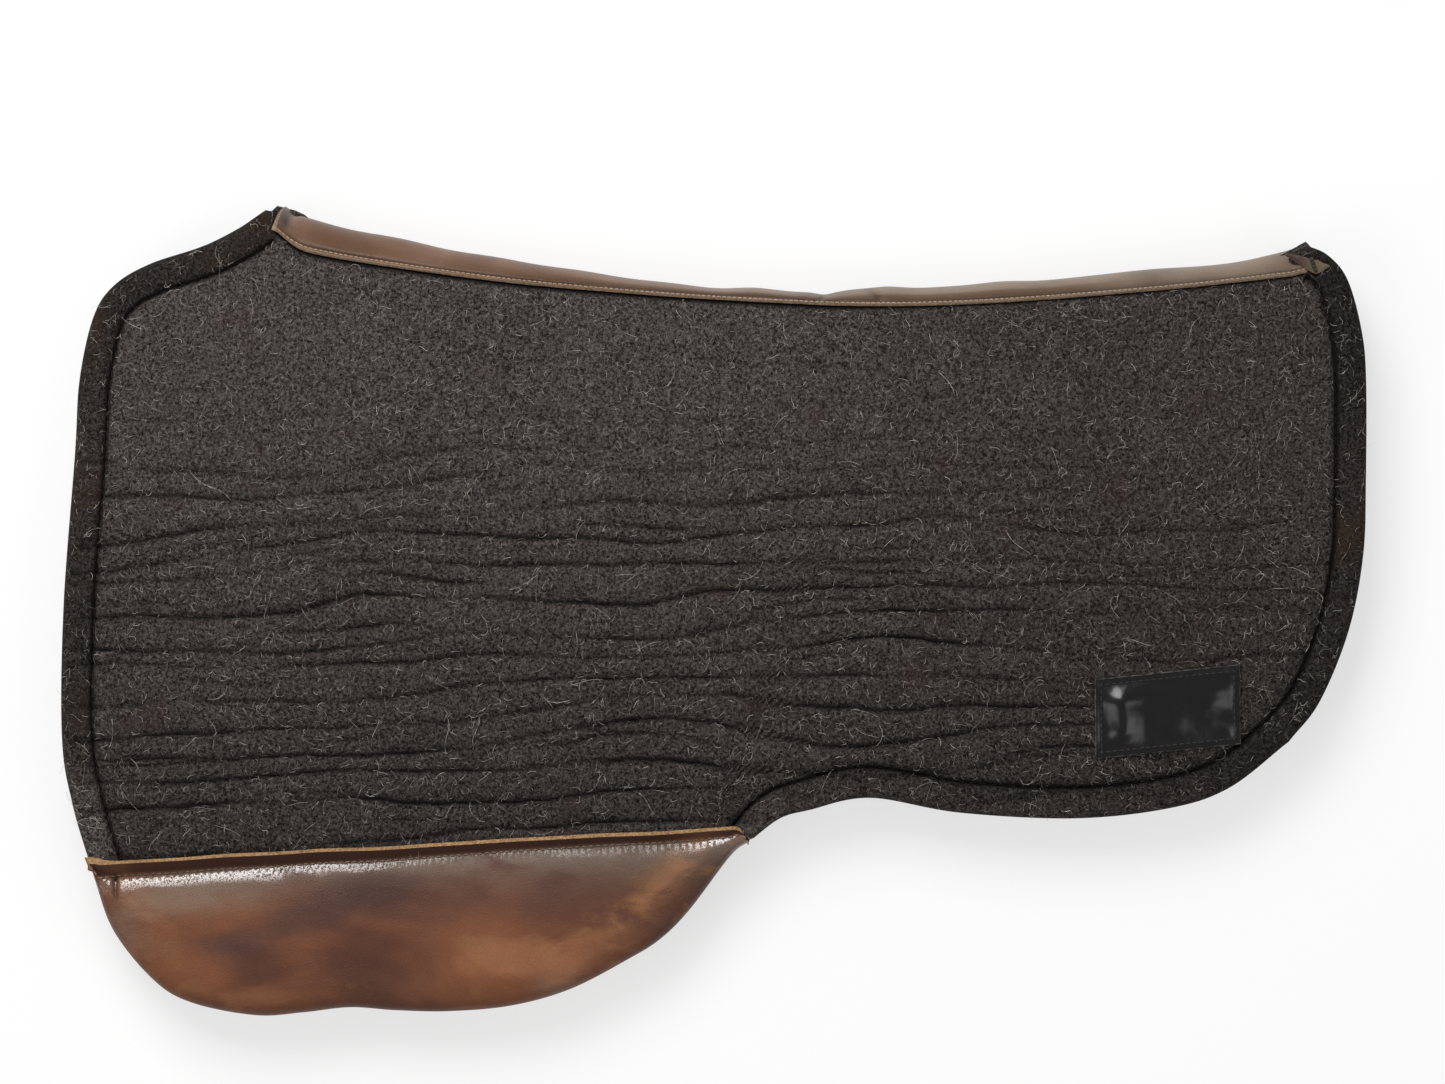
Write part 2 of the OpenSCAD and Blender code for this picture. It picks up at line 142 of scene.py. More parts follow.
rearShape = [
    (0.024, 0.855), (0.45, 0.784), (0.83, 0.66), (1, 0.53), (1, 0.40), (0.95, 0.227),
    (0.857, 0.142), (0.63, 0.057), (0.33, 0.016), (0, 0),
]
ridgeShape = [
    (1, 0), (0.95, 0.123), (0.80, 0.385), (0.565, 0.62), (0.333, 0.81), (0.08, 0.98),
    (-0.13, 0.98), (-0.365, 0.826), (-0.60, 0.585), (-0.833, 0.295), (-1, 0),
]
bellyShape = [
    (0, seamRear[1]), (0.055, lerp(seamRear[1], notchY, 0.50)),
    (0.110, lerp(seamRear[1], notchY, 0.70)), (0.222, notchY),
    (0.389, -pad["rearDrop"] + pad["notch"] / 8), (0.605, -pad["rearDrop"]),
    (0.780, -0.977 * pad["rearDrop"]), (0.892, -0.938 * pad["rearDrop"]), (1, rearCorner[1]),
]
edges = {
    "front": spline([(spineFront[0] - x * pad["frontReach"], -y * pad["seamFront"])
                     for x, y in frontShape]),
    "tongue": spline([lerp(seamFront, seamRear, x) - (0, y * tongueDepth) for x, y in tongueShape]),
    "belly": spline([(lerp(seamRear[0], rearCorner[0], x), y) for x, y in bellyShape]),
    "rear": spline([(spineRear[0] + x * pad["rearReach"], -y * pad["rearDrop"])
                    for x, y in rearShape]),
    "ridge": spline([(x * pad["spine"] / 2, -y * pad["dip"]) for x, y in ridgeShape]),
}
wholeEdge = np.vstack(list(edges.values()))
centre = (wholeEdge.min(axis=0) + wholeEdge.max(axis=0)) / 2
frontX, rearX = wholeEdge[:, 0].min(), wholeEdge[:, 0].max()
midLevel = pad["half"] + pad["gap"] / 2
seamWay = unit(seamRear - seamFront)
seamUp = np.array([-seamWay[1], seamWay[0]])
ridgeLine = edges["ridge"][::-1]


def ridgeBelow(x, y):
    # How far a point lies below the spine
    return np.interp(x, ridgeLine[:, 0], ridgeLine[:, 1]) - y


def placed(points, side):
    # From a half's own millimetres to the frame's metres; side 1 is near, -1 is off, 0 the fold
    p = np.asarray(points, float)
    z = midLevel + side * pad["gap"] / 2 + (side if side else 1) * p[:, 2]
    return np.column_stack([p[:, 0] - centre[0], p[:, 1] - centre[1], z]) / 1000.0


def makePiece(name, points, faces, materials, faceMaterials=None, closed=True):
    mesh = bpy.data.meshes.new(name)
    mesh.from_pydata(np.asarray(points).tolist(), [], faces)
    piece = bpy.data.objects.new(name, mesh)
    scene.collection.objects.link(piece)
    for material in materials:
        mesh.materials.append(material)
    if faceMaterials is not None:
        mesh.polygons.foreach_set("material_index", np.asarray(faceMaterials, np.int32))
    if closed:
        work = bmesh.new()
        work.from_mesh(mesh)
        bmesh.ops.recalc_face_normals(work, faces=work.faces)
        work.to_mesh(mesh)
        work.free()
    mesh.polygons.foreach_set("use_smooth", np.ones(len(mesh.polygons), bool))
    mesh.update()
    return piece


def keepAttribute(piece, name, values):
    layer = piece.data.attributes.new(name, "FLOAT", "POINT")
    layer.data.foreach_set("value", np.asarray(values, np.float32))


def gridQuads(ids):
    a, b, c, d = ids[:-1, :-1], ids[1:, :-1], ids[1:, 1:], ids[:-1, 1:]
    return np.stack([a, b, c, d], axis=-1).reshape(-1, 4)


def tidyFaces(faces):
    # Drops repeated corners, so that a quad with a shared corner becomes a triangle
    out = []
    for face in faces.tolist():
        kept = [v for k, v in enumerate(face) if v != face[k - 1]]
        if len(kept) > 2:
            out.append(kept)
    return out


# Where the pad opens, the felt and the spine leather turn over this run below the spine
bendRun = 80.0


def bendAtSpine(piece, side):
    # side is 1 for a piece of the near half, -1 for the off half and 0 for one that joins them
    axisY = frame["joints"][0]["pos_m"][1]
    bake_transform(piece, "off_half", "near_half", (0, axisY - 0.001, 0), (0, axisY + 0.001, 0))
    mesh = piece.data
    co = np.empty(3 * len(mesh.vertices), np.float32)
    mesh.vertices.foreach_get("co", co)
    co = co.reshape(-1, 3).astype(float) * 1000.0
    below = ridgeBelow(co[:, 0] + centre[0], co[:, 1] + centre[1])
    sides = side if side else np.sign(co[:, 2] - midLevel)
    weight = 0.5 + 0.5 * sides * smooth(below / bendRun)
    mesh.attributes["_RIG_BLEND"].data.foreach_set("value", weight.astype(np.float32))


# Materials
def paint(red, green, blue):
    # A colour as a screen shows it, to the linear colour that the shaders take
    channels = np.array([red, green, blue]) / 255.0
    linear = np.where(channels <= 0.04045, channels / 12.92, ((channels + 0.055) / 1.055) ** 2.4)
    return (*linear.tolist(), 1.0)


class Wire:
    # A shader socket that can be used in sums
    def __init__(self, shader, socket):
        self.shader = shader
        self.socket = socket

    def maths(self, operation, *others):
        sockets = dict(enumerate((self, *others)))
        return self.shader.add("ShaderNodeMath", {"operation": operation}, sockets)

    def __add__(self, other):
        return self.maths("ADD", other)

    def __sub__(self, other):
        return self.maths("SUBTRACT", other)

    def __mul__(self, other):
        return self.maths("MULTIPLY", other)

    def __truediv__(self, other):
        return self.maths("DIVIDE", other)

    def __rsub__(self, other):
        settings = {"operation": "SUBTRACT"}
        return self.shader.add("ShaderNodeMath", settings, {0: other, 1: self})

    __radd__ = __add__
    __rmul__ = __mul__

    def between(self, low, high):
        settings = {"interpolation_type": "SMOOTHSTEP"}
        sockets = {"Value": self, "From Min": low, "From Max": high}
        return self.shader.add("ShaderNodeMapRange", settings, sockets)

    def line(self, level, width):
        # 1 where the value is at the level, fading to 0 on both sides
        return (1.0 - (self - level).maths("ABSOLUTE") / width).maths("MAXIMUM", 0.0)


class Shader:
    def __init__(self, name, **constants):
        self.material = bpy.data.materials.new(name)
        self.material.use_nodes = True
        self.tree = self.material.node_tree
        self.surface = self.tree.nodes["Principled BSDF"]
        self.put(**constants)
        self.place = self.add("ShaderNodeTexCoord", out="Object")

    def feed(self, socket, value):
        if isinstance(value, Wire):
            self.tree.links.new(value.socket, socket)
        else:
            socket.default_value = value

    def add(self, kind, settings=None, sockets=None, out=0):
        node = self.tree.nodes.new(kind)
        for key, value in (settings or {}).items():
            setattr(node, key, value)
        for key, value in (sockets or {}).items():
            self.feed(node.inputs[key], value)
        return Wire(self, node.outputs[out])

    def put(self, **values):
        for key, value in values.items():
            self.feed(self.surface.inputs[key.replace("_", " ")], value)

    def axis(self, number):
        return self.add("ShaderNodeSeparateXYZ", None, {0: self.place}, out=number)

    def stretched(self, x, y, z):
        settings, sockets = {"operation": "MULTIPLY"}, {0: self.place, 1: (x, y, z)}
        return self.add("ShaderNodeVectorMath", settings, sockets)

    def noise(self, scale, detail=2.0, roughness=0.5, distortion=0.0, seed=0.0, at=None):
        sockets = {
            "Vector": at or self.place, "W": seed, "Scale": scale, "Detail": detail,
            "Roughness": roughness, "Distortion": distortion,
        }
        return self.add("ShaderNodeTexNoise", {"noise_dimensions": "4D"}, sockets)

    def cells(self, scale):
        return self.add("ShaderNodeTexVoronoi", None, {"Vector": self.place, "Scale": scale})

    def kept(self, name):
        return self.add("ShaderNodeAttribute", {"attribute_name": name}, out="Fac")

    def mix(self, share, a, b):
        return self.add("ShaderNodeMix", {"data_type": "RGBA"}, {0: share, 6: a, 7: b}, out=2)

    def scaled(self, colour, share):
        sockets = {0: colour, "Scale": share}
        return self.add("ShaderNodeVectorMath", {"operation": "SCALE"}, sockets)

    def bump(self, height, distance, strength=1.0):
        sockets = {"Height": height, "Distance": distance, "Strength": strength}
        self.put(Normal=self.add("ShaderNodeBump", None, sockets))


# Some of these weigh painted shade and painted light: in creases, on the border, low down and towards the
# rear
feltLook = {
    "dark": paint(18, 15, 14), "body": paint(71, 65, 62), "pale": paint(128, 122, 117),
    "fibre": paint(150, 144, 138), "speck": 520.0, "fine": 1400.0, "clump": 140.0, "cloud": 13.0,
    "hairs": ((230.0, 3.0), (310.0, 11.0), (400.0, 23.0)), "hairWidth": 0.03,
    "creasePaintedShadeAndLight": 0.80, "paintedLowLight": 1.05, "borderShade": 0.42, "stain": paint(84, 62, 46),
    "tinge": paint(70, 48, 42), "stainSize": 11.0, "tingeSize": 19.0,
    "lower": 0.77, "upper": 0.44, "rearPaintedShade": 0.26, "bumpHeight": 0.0012,
}


def feltMaterial(name, tone):
    look = feltLook
    s = Shader(name, Roughness=0.95, Specular_IOR_Level=0.1)
    speck = s.noise(look["speck"], 4.0, 0.72)
    fine = s.noise(look["fine"], 2.0, 0.6, seed=5.0)
    clump = s.noise(look["clump"], 3.0, 0.6, seed=12.0)
    cloud = s.noise(look["cloud"], 2.0, 0.5, seed=9.0)
    hairs = None
    for scale, seed in look["hairs"]:
        strand = s.noise(scale, 2.0, 0.6, 1.2, seed).line(0.5, look["hairWidth"])
        hairs = strand if hairs is None else hairs.maths("MAXIMUM", strand)
    body = s.mix(speck.between(0.36, 0.64), look["dark"], look["body"])
    body = s.mix(fine.between(0.50, 0.74) * 0.55, body, look["pale"])
    body = s.mix(hairs * speck.between(0.40, 0.62) * 0.5, body, look["fibre"])
    across = s.axis(0)
    height = s.axis(1)
    # Painted light: lighter towards the top, darker low down
    paintedTopLight = height.between(-0.18, 0.18) * look["upper"] + look["lower"]
    # Painted shade: darker towards the rear
    paintedRearShade = 1.0 - across.between(-0.05, 0.30) * look["rearPaintedShade"]
    shade = (cloud * 0.3 + 0.85) * (clump * 0.6 + 0.7) * paintedTopLight * paintedRearShade * tone
    # Painted shade in the creases, the groove and beside the spine leather, less painted light on the rolls
    # below the creases
    broken = speck.between(0.30, 0.62) * 0.45 + 0.68
    shade = shade * (1.0 - s.kept("crease") * broken * look["creasePaintedShadeAndLight"])
    # Painted shade on the border, more near the top, and painted light on it low down
    border = s.kept("border")
    paintedLowLightShare = height.between(-0.06, -0.15) * look["paintedLowLight"]
    borderPaintedShade = height.between(0.08, 0.20) * 0.2 + look["borderShade"] - paintedLowLightShare
    shade = shade * (1.0 - border * borderPaintedShade)
    rusty = border * s.noise(look["stainSize"], 2.0, 0.5, seed=27.0).between(0.56, 0.70)
    body = s.mix(rusty * 0.6, body, look["stain"])
    tinged = s.noise(look["tingeSize"], 2.0, 0.5, seed=33.0).between(0.57, 0.72)
    body = s.mix(tinged * 0.35, body, look["tinge"])
    s.put(Base_Color=s.scaled(body, shade))
    s.bump(speck * 0.6 + fine * 0.25 + hairs * 0.4, look["bumpHeight"], 0.9)
    return s.material


def rawEdgeMaterial(name, dark, pale):
    s = Shader(name, Roughness=0.9, Specular_IOR_Level=0.15)
    fibres = s.noise(700.0, 3.0, 0.65)
    stain = s.noise(45.0, 2.0, 0.5, seed=2.0)
    body = s.mix(fibres.between(0.3, 0.7), dark, pale)
    s.put(Base_Color=s.scaled(body, stain * 0.7 + 0.62))
    s.bump(fibres, 0.0005)
    return s.material


# Some colours here are painted light: a sheen grey, a hazy sheen, a dark lip shade, and a tan that also
# paints a bend highlight
wearLook = {
    "brown": paint(88, 52, 36), "dark": paint(58, 38, 35), "warm": paint(122, 72, 42),
    "paintedSheenGrey": paint(104, 96, 84), "olive": paint(120, 88, 50), "wornTanAndPaintedBendLight": paint(146, 100, 64),
    "inside": paint(80, 44, 32), "deep": paint(62, 30, 20), "paintedSheen": paint(134, 118, 102),
    "rubbed": paint(150, 98, 66),
    # Patches of wear: colour, how much a noise breaks it, where it begins and is full, and its share
    "patches": {
        "deep": ("deep", 1.4, 0.05, 1.0, 0.75), "soot": ("dark", 1.6, 0.05, 1.1, 0.66),
        "rubbed": ("rubbed", 1.8, 0.20, 1.1, 0.62),
    },
}


def wearMaterial():
    look = wearLook
    s = Shader("wearLeather", Specular_IOR_Level=0.28, Coat_Roughness=0.15, Coat_IOR=1.9)
    level = s.stretched(0.6, 1.2, 1.0)
    broad = s.noise(8.0, 2.0, 0.5, 0.4, 1.0, level)
    across = s.axis(0)
    blot = s.noise(15.0, 3.0, 0.6, 0.6, 6.0, level) - across.between(-0.22, -0.06) * 0.10
    streak = s.noise(34.0, 4.0, 0.7, 1.0, 12.0, level)
    grain = s.cells(1250.0)
    pore = s.noise(900.0, 2.0, 0.6, seed=3.0)
    lip, rim = s.kept("lip"), s.kept("rim")
    seam = s.kept("seam") * (1.0 - lip)
    body = s.mix(broad.between(0.36, 0.62), look["brown"], look["warm"])
    body = s.mix(blot.between(0.44, 0.66) * 0.4, body, look["dark"])
    # Painted sheen in patches
    body = s.mix(s.kept("paintedSheen") * streak.between(0.25, 0.65) * 0.62, body, look["paintedSheen"])
    for name, (colour, rough, begins, full, share) in look["patches"].items():
        broken = s.kept(name) + ((blot if name == "deep" else streak) - 0.5) * rough
        body = s.mix(broken.between(begins, full) * share, body, look[colour])
    body = s.mix(streak.between(0.50, 0.74) * blot.between(0.58, 0.40) * 0.6, body, look["olive"])
    # Painted sheen: greyer near the seam
    body = s.mix(seam * blot.between(0.62, 0.42) * 0.5, body, look["paintedSheenGrey"])
    body = s.mix(rim * streak.between(0.48, 0.62) * 0.4, body, look["wornTanAndPaintedBendLight"])
    scratch = s.noise(26.0, 2.0, 0.5, 2.4, 31.0).line(0.5, 0.003)
    scratch = scratch * s.noise(34.0, 1.0, 0.5, seed=17.0).between(0.60, 0.68)
    body = s.mix(scratch * 0.35, body, look["wornTanAndPaintedBendLight"])
    # Painted shade on the lip and in the tuck
    body = s.mix(lip * 0.8, body, look["inside"])
    # Painted highlight along the bend near the rim
    body = s.mix(s.kept("bend") * streak.between(0.36, 0.60) * 0.7, body, look["wornTanAndPaintedBendLight"])
    # Painted shade: darker towards the rim and on the lip
    shade = (pore * 0.5 + 0.75) * (1.0 - rim * 0.26) * (1.0 - lip * 0.48)
    s.put(Base_Color=s.scaled(body, shade), Roughness=streak * 0.2 + 0.40 - seam * 0.1)
    s.put(Coat_Weight=s.kept("gloss") * pore.between(0.36, 0.58))
    s.bump(grain * 0.7 + pore * 0.5 + scratch * 0.4 + streak * 0.8, 0.0005, 0.75)
    return s.material


# Body colours, a painted sheen for the rear, painted shade for the lower face and painted light for the
# upper part
stripLook = {
    "body": (paint(93, 66, 48), paint(119, 90, 71)), "paintedRearSheen": (paint(94, 80, 67), paint(126, 112, 97)),
    "lower": paint(84, 58, 36), "edge": paint(144, 116, 92), "upperPaintedLight": 1.10, "channelShade": 0.42,
}


def spineMaterial():
    look = stripLook
    s = Shader("spineLeather", Specular_IOR_Level=0.27)
    broad = s.noise(14.0, 3.0, 0.55, seed=4.0)
    edge, channel = s.kept("edge"), s.kept("channel")
    grain = s.cells(1150.0)
    pore = s.noise(800.0, 2.0, 0.6, seed=8.0)
    along = s.axis(0)
    patchy = broad.between(0.36, 0.64)
    body, paintedRearSheen = s.mix(patchy, *look["body"]), s.mix(patchy, *look["paintedRearSheen"])
    # Painted sheen towards the rear, painted light on the upper part and painted shade on the lower face
    body = s.mix(along.between(-0.15, 0.10) * 0.85, body, paintedRearSheen)
    body = s.mix(s.kept("lower") * 0.85, s.scaled(body, look["upperPaintedLight"]), look["lower"])
    body = s.mix(edge * (0.5 - along.between(0.08, 0.22) * 0.3), body, look["edge"])
    # Painted shade in the channels, the hollow and the wrinkles
    shade = (pore * 0.5 + 0.75) * (1.0 - channel * look["channelShade"])
    s.put(Base_Color=s.scaled(body, shade), Roughness=broad * 0.2 + 0.30)
    s.bump(grain * 0.5 + pore * 0.4 + broad * 0.6, 0.0004, 0.6)
    return s.material


def tabMaterial():
    s = Shader("tabLeather", Roughness=0.55, Specular_IOR_Level=0.3)
    stain = s.noise(160.0, 3.0, 0.6, seed=14.0)
    body = s.mix(s.axis(0).between(0.345, 0.356), paint(58, 42, 34), paint(96, 84, 64))
    s.put(Base_Color=s.scaled(body, stain * 0.9 + 0.55))
    s.bump(stain, 0.0005)
    return s.material


def mottledMaterial(name, roughness, scale, spread, bump, dark, pale):
    s = Shader(name, Roughness=roughness)
    speck = s.noise(scale, 2.0, 0.6)
    s.put(Base_Color=s.mix(speck.between(*spread), dark, pale))
    s.bump(speck, bump)
    return s.material


def threadMaterial(name, dark, pale):
    return mottledMaterial(name, 0.7, 1500.0, (0.3, 0.7), 0.0004, dark, pale)


def labelMaterial():
    s = Shader("labelVinyl", Specular_IOR_Level=0.5)
    wave = s.noise(48.0, 2.0, 0.5, seed=2.0)
    dust = s.noise(900.0, 2.0, 0.6, seed=6.0)
    body = s.mix(dust.between(0.6, 0.8) * 0.3, paint(3, 3, 4), paint(24, 24, 23))
    s.put(Base_Color=body, Roughness=dust * 0.2 + 0.09)
    s.bump(wave + dust * 0.03, 0.0022, 0.5)
    return s.material


def strandMaterial():
    s = Shader("strands", Roughness=0.8, Specular_IOR_Level=0.2)
    mixture = s.noise(240.0, 1.0, 0.5)
    fleck = s.noise(150.0, 0.0, 0.5, seed=15.0).between(0.66, 0.72)
    body = s.mix(mixture.between(0.35, 0.65), paint(104, 98, 93), paint(222, 215, 206))
    s.put(Base_Color=s.mix(fleck, body, paint(225, 218, 205)))
    return s.material


outerFelt = feltMaterial("outerFelt", 1.0)
liningFelt = feltMaterial("liningFelt", 0.86)
rawEdge = rawEdgeMaterial("rawEdge", paint(118, 88, 60), paint(186, 150, 108))
stripEdge = rawEdgeMaterial("stripEdge", paint(106, 87, 70), paint(164, 141, 118))
wearLeather = wearMaterial()
spineLeather = spineMaterial()
tabLeather = tabMaterial()
darkThread = threadMaterial("darkThread", paint(28, 22, 20), paint(60, 48, 42))
brownThread = threadMaterial("brownThread", paint(84, 62, 50), paint(164, 134, 112))
tanThread = threadMaterial("tanThread", paint(136, 114, 94), paint(204, 182, 158))
labelVinyl = labelMaterial()
rimDark, rimPale = paint(34, 33, 30), paint(98, 98, 90)
labelRim = mottledMaterial("labelRim", 0.6, 300.0, (0.4, 0.66), 0.0003, rimDark, rimPale)
strands = strandMaterial()
print("materials made")


# Felts: runs of the outline over which the way in is evened, or one kind of edge passes to the next
stationRuns = {
    "inward": 22.0, "frontTurn": 26.0, "rearTurn": 45.0, "tongue": 1.6, "ridge": 6.0,
    "frontEnd": 16.0, "rearEnd": 17.0, "dome": 23.0, "domeFade": 8.0, "swell": 26.0,
}


def makeStations(rows, tongueCols, bellyCols, innerInset):
    # Points round the outline, the way in from each, and how far each is on the tongue or the spine
    runs = stationRuns
    cols = tongueCols + bellyCols
    counts = {"front": rows, "tongue": tongueCols, "belly": bellyCols, "rear": rows, "ridge": cols}
    points = np.vstack([evenly(edges[name], count)[:-1] for name, count in counts.items()])
    total = len(points)
    index = np.arange(total)
    atFront, atRear, atSpine = rows, rows + tongueCols, total - cols
    run = runLengths(np.vstack([points, points[:1]]))
    tangent = unit(np.roll(points, -1, axis=0) - np.roll(points, 1, axis=0))
    normal = np.column_stack([-tangent[:, 1], tangent[:, 0]])
    spread = runs["inward"] * total / run[-1]
    reach = int(3 * spread)
    inward = unit(sum(math.exp(-0.5 * (k / spread) ** 2) * np.roll(normal, k, axis=0)
                      for k in range(-reach, reach + 1)))
    seam = lerp(seamFront + innerInset * seamWay, seamRear - innerInset * seamWay,
                np.linspace(0, 1, tongueCols + 1)[:, None])
    ahead = run[atFront] - run[:-1]
    behind = run[:-1] - run[atRear]
    turnFront = smooth(1 - np.where(ahead >= 0, ahead, np.inf) / runs["frontTurn"])[:, None]
    turnRear = smooth(1 - np.where(behind >= 0, behind, np.inf) / runs["rearTurn"])[:, None]
    inward = unit(inward * (1 - turnFront - turnRear) + seamWay * turnFront - seamWay * turnRear)
    tongue = slice(atFront, atRear + 1)
    inward[tongue] = unit(seam - points[tongue])
    onTongue = smooth(1 - np.maximum(np.maximum(ahead, behind), 0) / runs["tongue"])
    onSpine = index >= atSpine
    spineGap = np.minimum(run[:-1], np.maximum(run[atSpine] - run[:-1], 0))
    onRidge = smooth(1 - np.where(onSpine, 0, spineGap) / runs["ridge"])
    within = np.where(onSpine, run[-1] - run[:-1], run[:-1])
    endFront = smooth(1 - within / runs["frontEnd"])
    endRear = smooth(1 - np.abs(run[:-1] - run[atSpine]) / runs["rearEnd"])
    dome = smooth((runs["dome"] - within) / runs["domeFade"])
    swell = smooth(1 - np.where(index < atFront, run[:-1], np.inf) / runs["swell"]) * (1 - onRidge)
    along = np.where(index < total / 2, 1, -1)
    along = np.where(onSpine, 2.0 * (index - atSpine) / cols - 1, along)
    return {
        "points": points, "inward": inward, "seam": seam, "onTongue": onTongue, "onRidge": onRidge,
        "endFront": endFront, "endRear": endRear, "dome": dome, "swell": swell,
        "width": spineWidth(along), "rows": rows, "tongueCols": tongueCols, "cols": cols,
        "atFront": atFront, "atRear": atRear, "atSpine": atSpine, "total": total,
        "spineOrder": np.append(np.arange(atSpine, total), 0),
    }


# The spine leather's width on one side, from the rear end at -1 to the front end at 1
spineWidths = spline([
    (-1, 17.0), (-0.9, 13.6), (-0.78, 11.7), (-0.45, 11.8), (-0.28, 11.2), (-0.1, 8.6), (0.02, 7.1),
    (0.16, 7.6), (0.36, 10.6), (0.55, 14.6), (0.8, 18.4), (1, 22.0),
])


def spineWidth(along):
    width = np.interp(along, spineWidths[:, 0], spineWidths[:, 1])
    return width * (1 - 0.36 * np.clip((along - 0.92) / 0.08, 0, 1) ** 2)


noseAngles = np.radians(np.linspace(37.1, 90, 8))
# Insets and stand-outs of the felt: under the spine leather, at the swell, past both ends, off side
feltStand = {"underStrip": 2.9, "swell": 1.9, "front": 4.0, "rear": 2.6, "dome": 2.7}
outerProfile = {
    "edgeInset": [1, 0.3, 0, 0.25, 1.2, 3, 5.5, 8.5, 12, 15, 16.8, 17.9, 18.6, 19, 19.4, 20.1, 21.2, 23,
                  25.5, 28],
    "edgeLevel": [12, 13.6, 15.6, 18, 20.2, 22.2, 23.5] + [24] * 13,
    "ridgePast": [1.4, 1.9, 2.5, 3.4, 4.6, 6, 7.4, 8.8, 10.2, 11.5, 12.8, 14],
    "rearNoseInset": [1, 0.3, 0, 0.6, 2, 4.5, 8, 11.5],
    "rearNoseLevel": [12, 14, 16.5, 19.5, 21.8, 23.2, 24, 23.4],
    "noseTop": 20.4, "noseDrop": 0.3, "noseSwell": 1.5,
    "ridgeLevel": [20.1, 21.4, 22.6, 23.4, 23.8] + [24] * 7,
    "tongueInset": [2.9, 2.9, 2.9, 3, 3.5, 4.6, 6, 7.5, 9, 11, 13, 15, 17, 19, 21, 22.5, 24, 25.5, 27, 28],
    "tongueLevel": [12, 14, 16.5, 17.6, 18.9, 19.8] + [20.1] * 14,
    "groove": 19.0, "grooveDepth": 4.6, "grooveWidth": 1.1, "shoulderDepth": 1.5, "shoulderWidth": 5.0,
    "innerInset": 28.0, "ledge": 20.1, "ledgeEnd": 1000.0, "ledgeRows": 8,
    # The felt is drawn down under the wear leather's lip, and sunk at both ends of its seam
    "draw": 6.8, "dip": 3.9, "dipRun": 10.0, "flatTo": 16.0, "stripEdge": 2.0, "crownRun": 12.0,
    "borderTo": 18.6, "borderCrease": 0.35, "grooveShadeWidth": 1.5, "gapPaintedShadow": 0.95, "gapShadowWidth": 1.7,
    "lumps": ((0.30, 22, 5), (0.16, 9, 6)), "offCrease": 0.5, "offLumps": 0.25,
    "strandsFrom": 20.6, "strandsTo": 0.42,
}
liningProfile = {
    "edgeInset": [1.2, 0.4, 0.2, 0.9, 2.5, 6, 12, 20, 28],
    "edgeLevel": [12, 10, 6, 2.6, 0.8, 0, 0, 0, 0],
    "ridgeInset": [0, 0, 0, 0.3, 1, 3, 7, 11, 14],
    "ridgeLevel": [12, 10, 6, 3, 1, 0.2, 0, 0, 0],
    "tongueInset": [2.9, 2.9, 2.9, 3.2, 4, 8, 20, 27, 28],
    "tongueLevel": [12, 10, 6, 3.6, 2.95, 2.9, 2.9, 2.9, 2.9],
    "frontDraw": 0.7, "rearDraw": 0.8, "flatTo": 4.0, "lumpRun": 12.0, "lumps": 0.25,
    "innerInset": 28.0, "ledge": 2.9, "ledgeEnd": 35.3, "ledgeRows": 10,
}


def noseInset(width, angle):
    # How far in the felt stands at an angle round the fold, under the spine leather
    return width - (width - feltStand["underStrip"]) * np.cos(angle)


def column(values):
    return np.array(values, float)[:, None]


def mixed(stations, edge, tongue, ridge):
    onTongue, onRidge = stations["onTongue"], stations["onRidge"]
    return edge * (1 - onTongue - onRidge) + tongue * onTongue + ridge * onRidge


def coonsSheet(stations, inner):
    # Fills the ring with a sheet, from the spine down to the seam and the belly
    rows, cols, tongueCols = stations["rows"], stations["cols"], stations["tongueCols"]
    total, atSpine = stations["total"], stations["atSpine"]
    u = np.linspace(0, 1, cols + 1)[None, :, None]
    v = np.linspace(0, 1, rows + 1)[:, None, None]
    top = inner[(total - np.arange(cols + 1)) % total]
    low = inner[rows + np.arange(cols + 1)].copy()
    low[1:tongueCols] = stations["seam"][1:tongueCols]
    front = inner[np.arange(rows + 1)][:, None]
    rear = inner[atSpine - np.arange(rows + 1)][:, None]
    corners = lerp(lerp(top[0], top[-1], u), lerp(low[0], low[-1], u), v)
    return lerp(top[None], low[None], v) + lerp(front, rear, u) - corners


def sheetIds(stations, lastRing, firstNew):
    rows, cols, tongueCols = stations["rows"], stations["cols"], stations["tongueCols"]
    total, atSpine = stations["total"], stations["atSpine"]
    ids = np.full((rows + 1, cols + 1), -1)
    ids[0] = lastRing + (total - np.arange(cols + 1)) % total
    ids[:, 0] = lastRing + np.arange(rows + 1)
    ids[:, cols] = lastRing + atSpine - np.arange(rows + 1)
    ids[rows, 0] = lastRing + rows
    ids[rows, tongueCols:] = lastRing + rows + np.arange(tongueCols, cols + 1)
    fresh = ids < 0
    ids[fresh] = firstNew + np.arange(fresh.sum())
    return ids, fresh


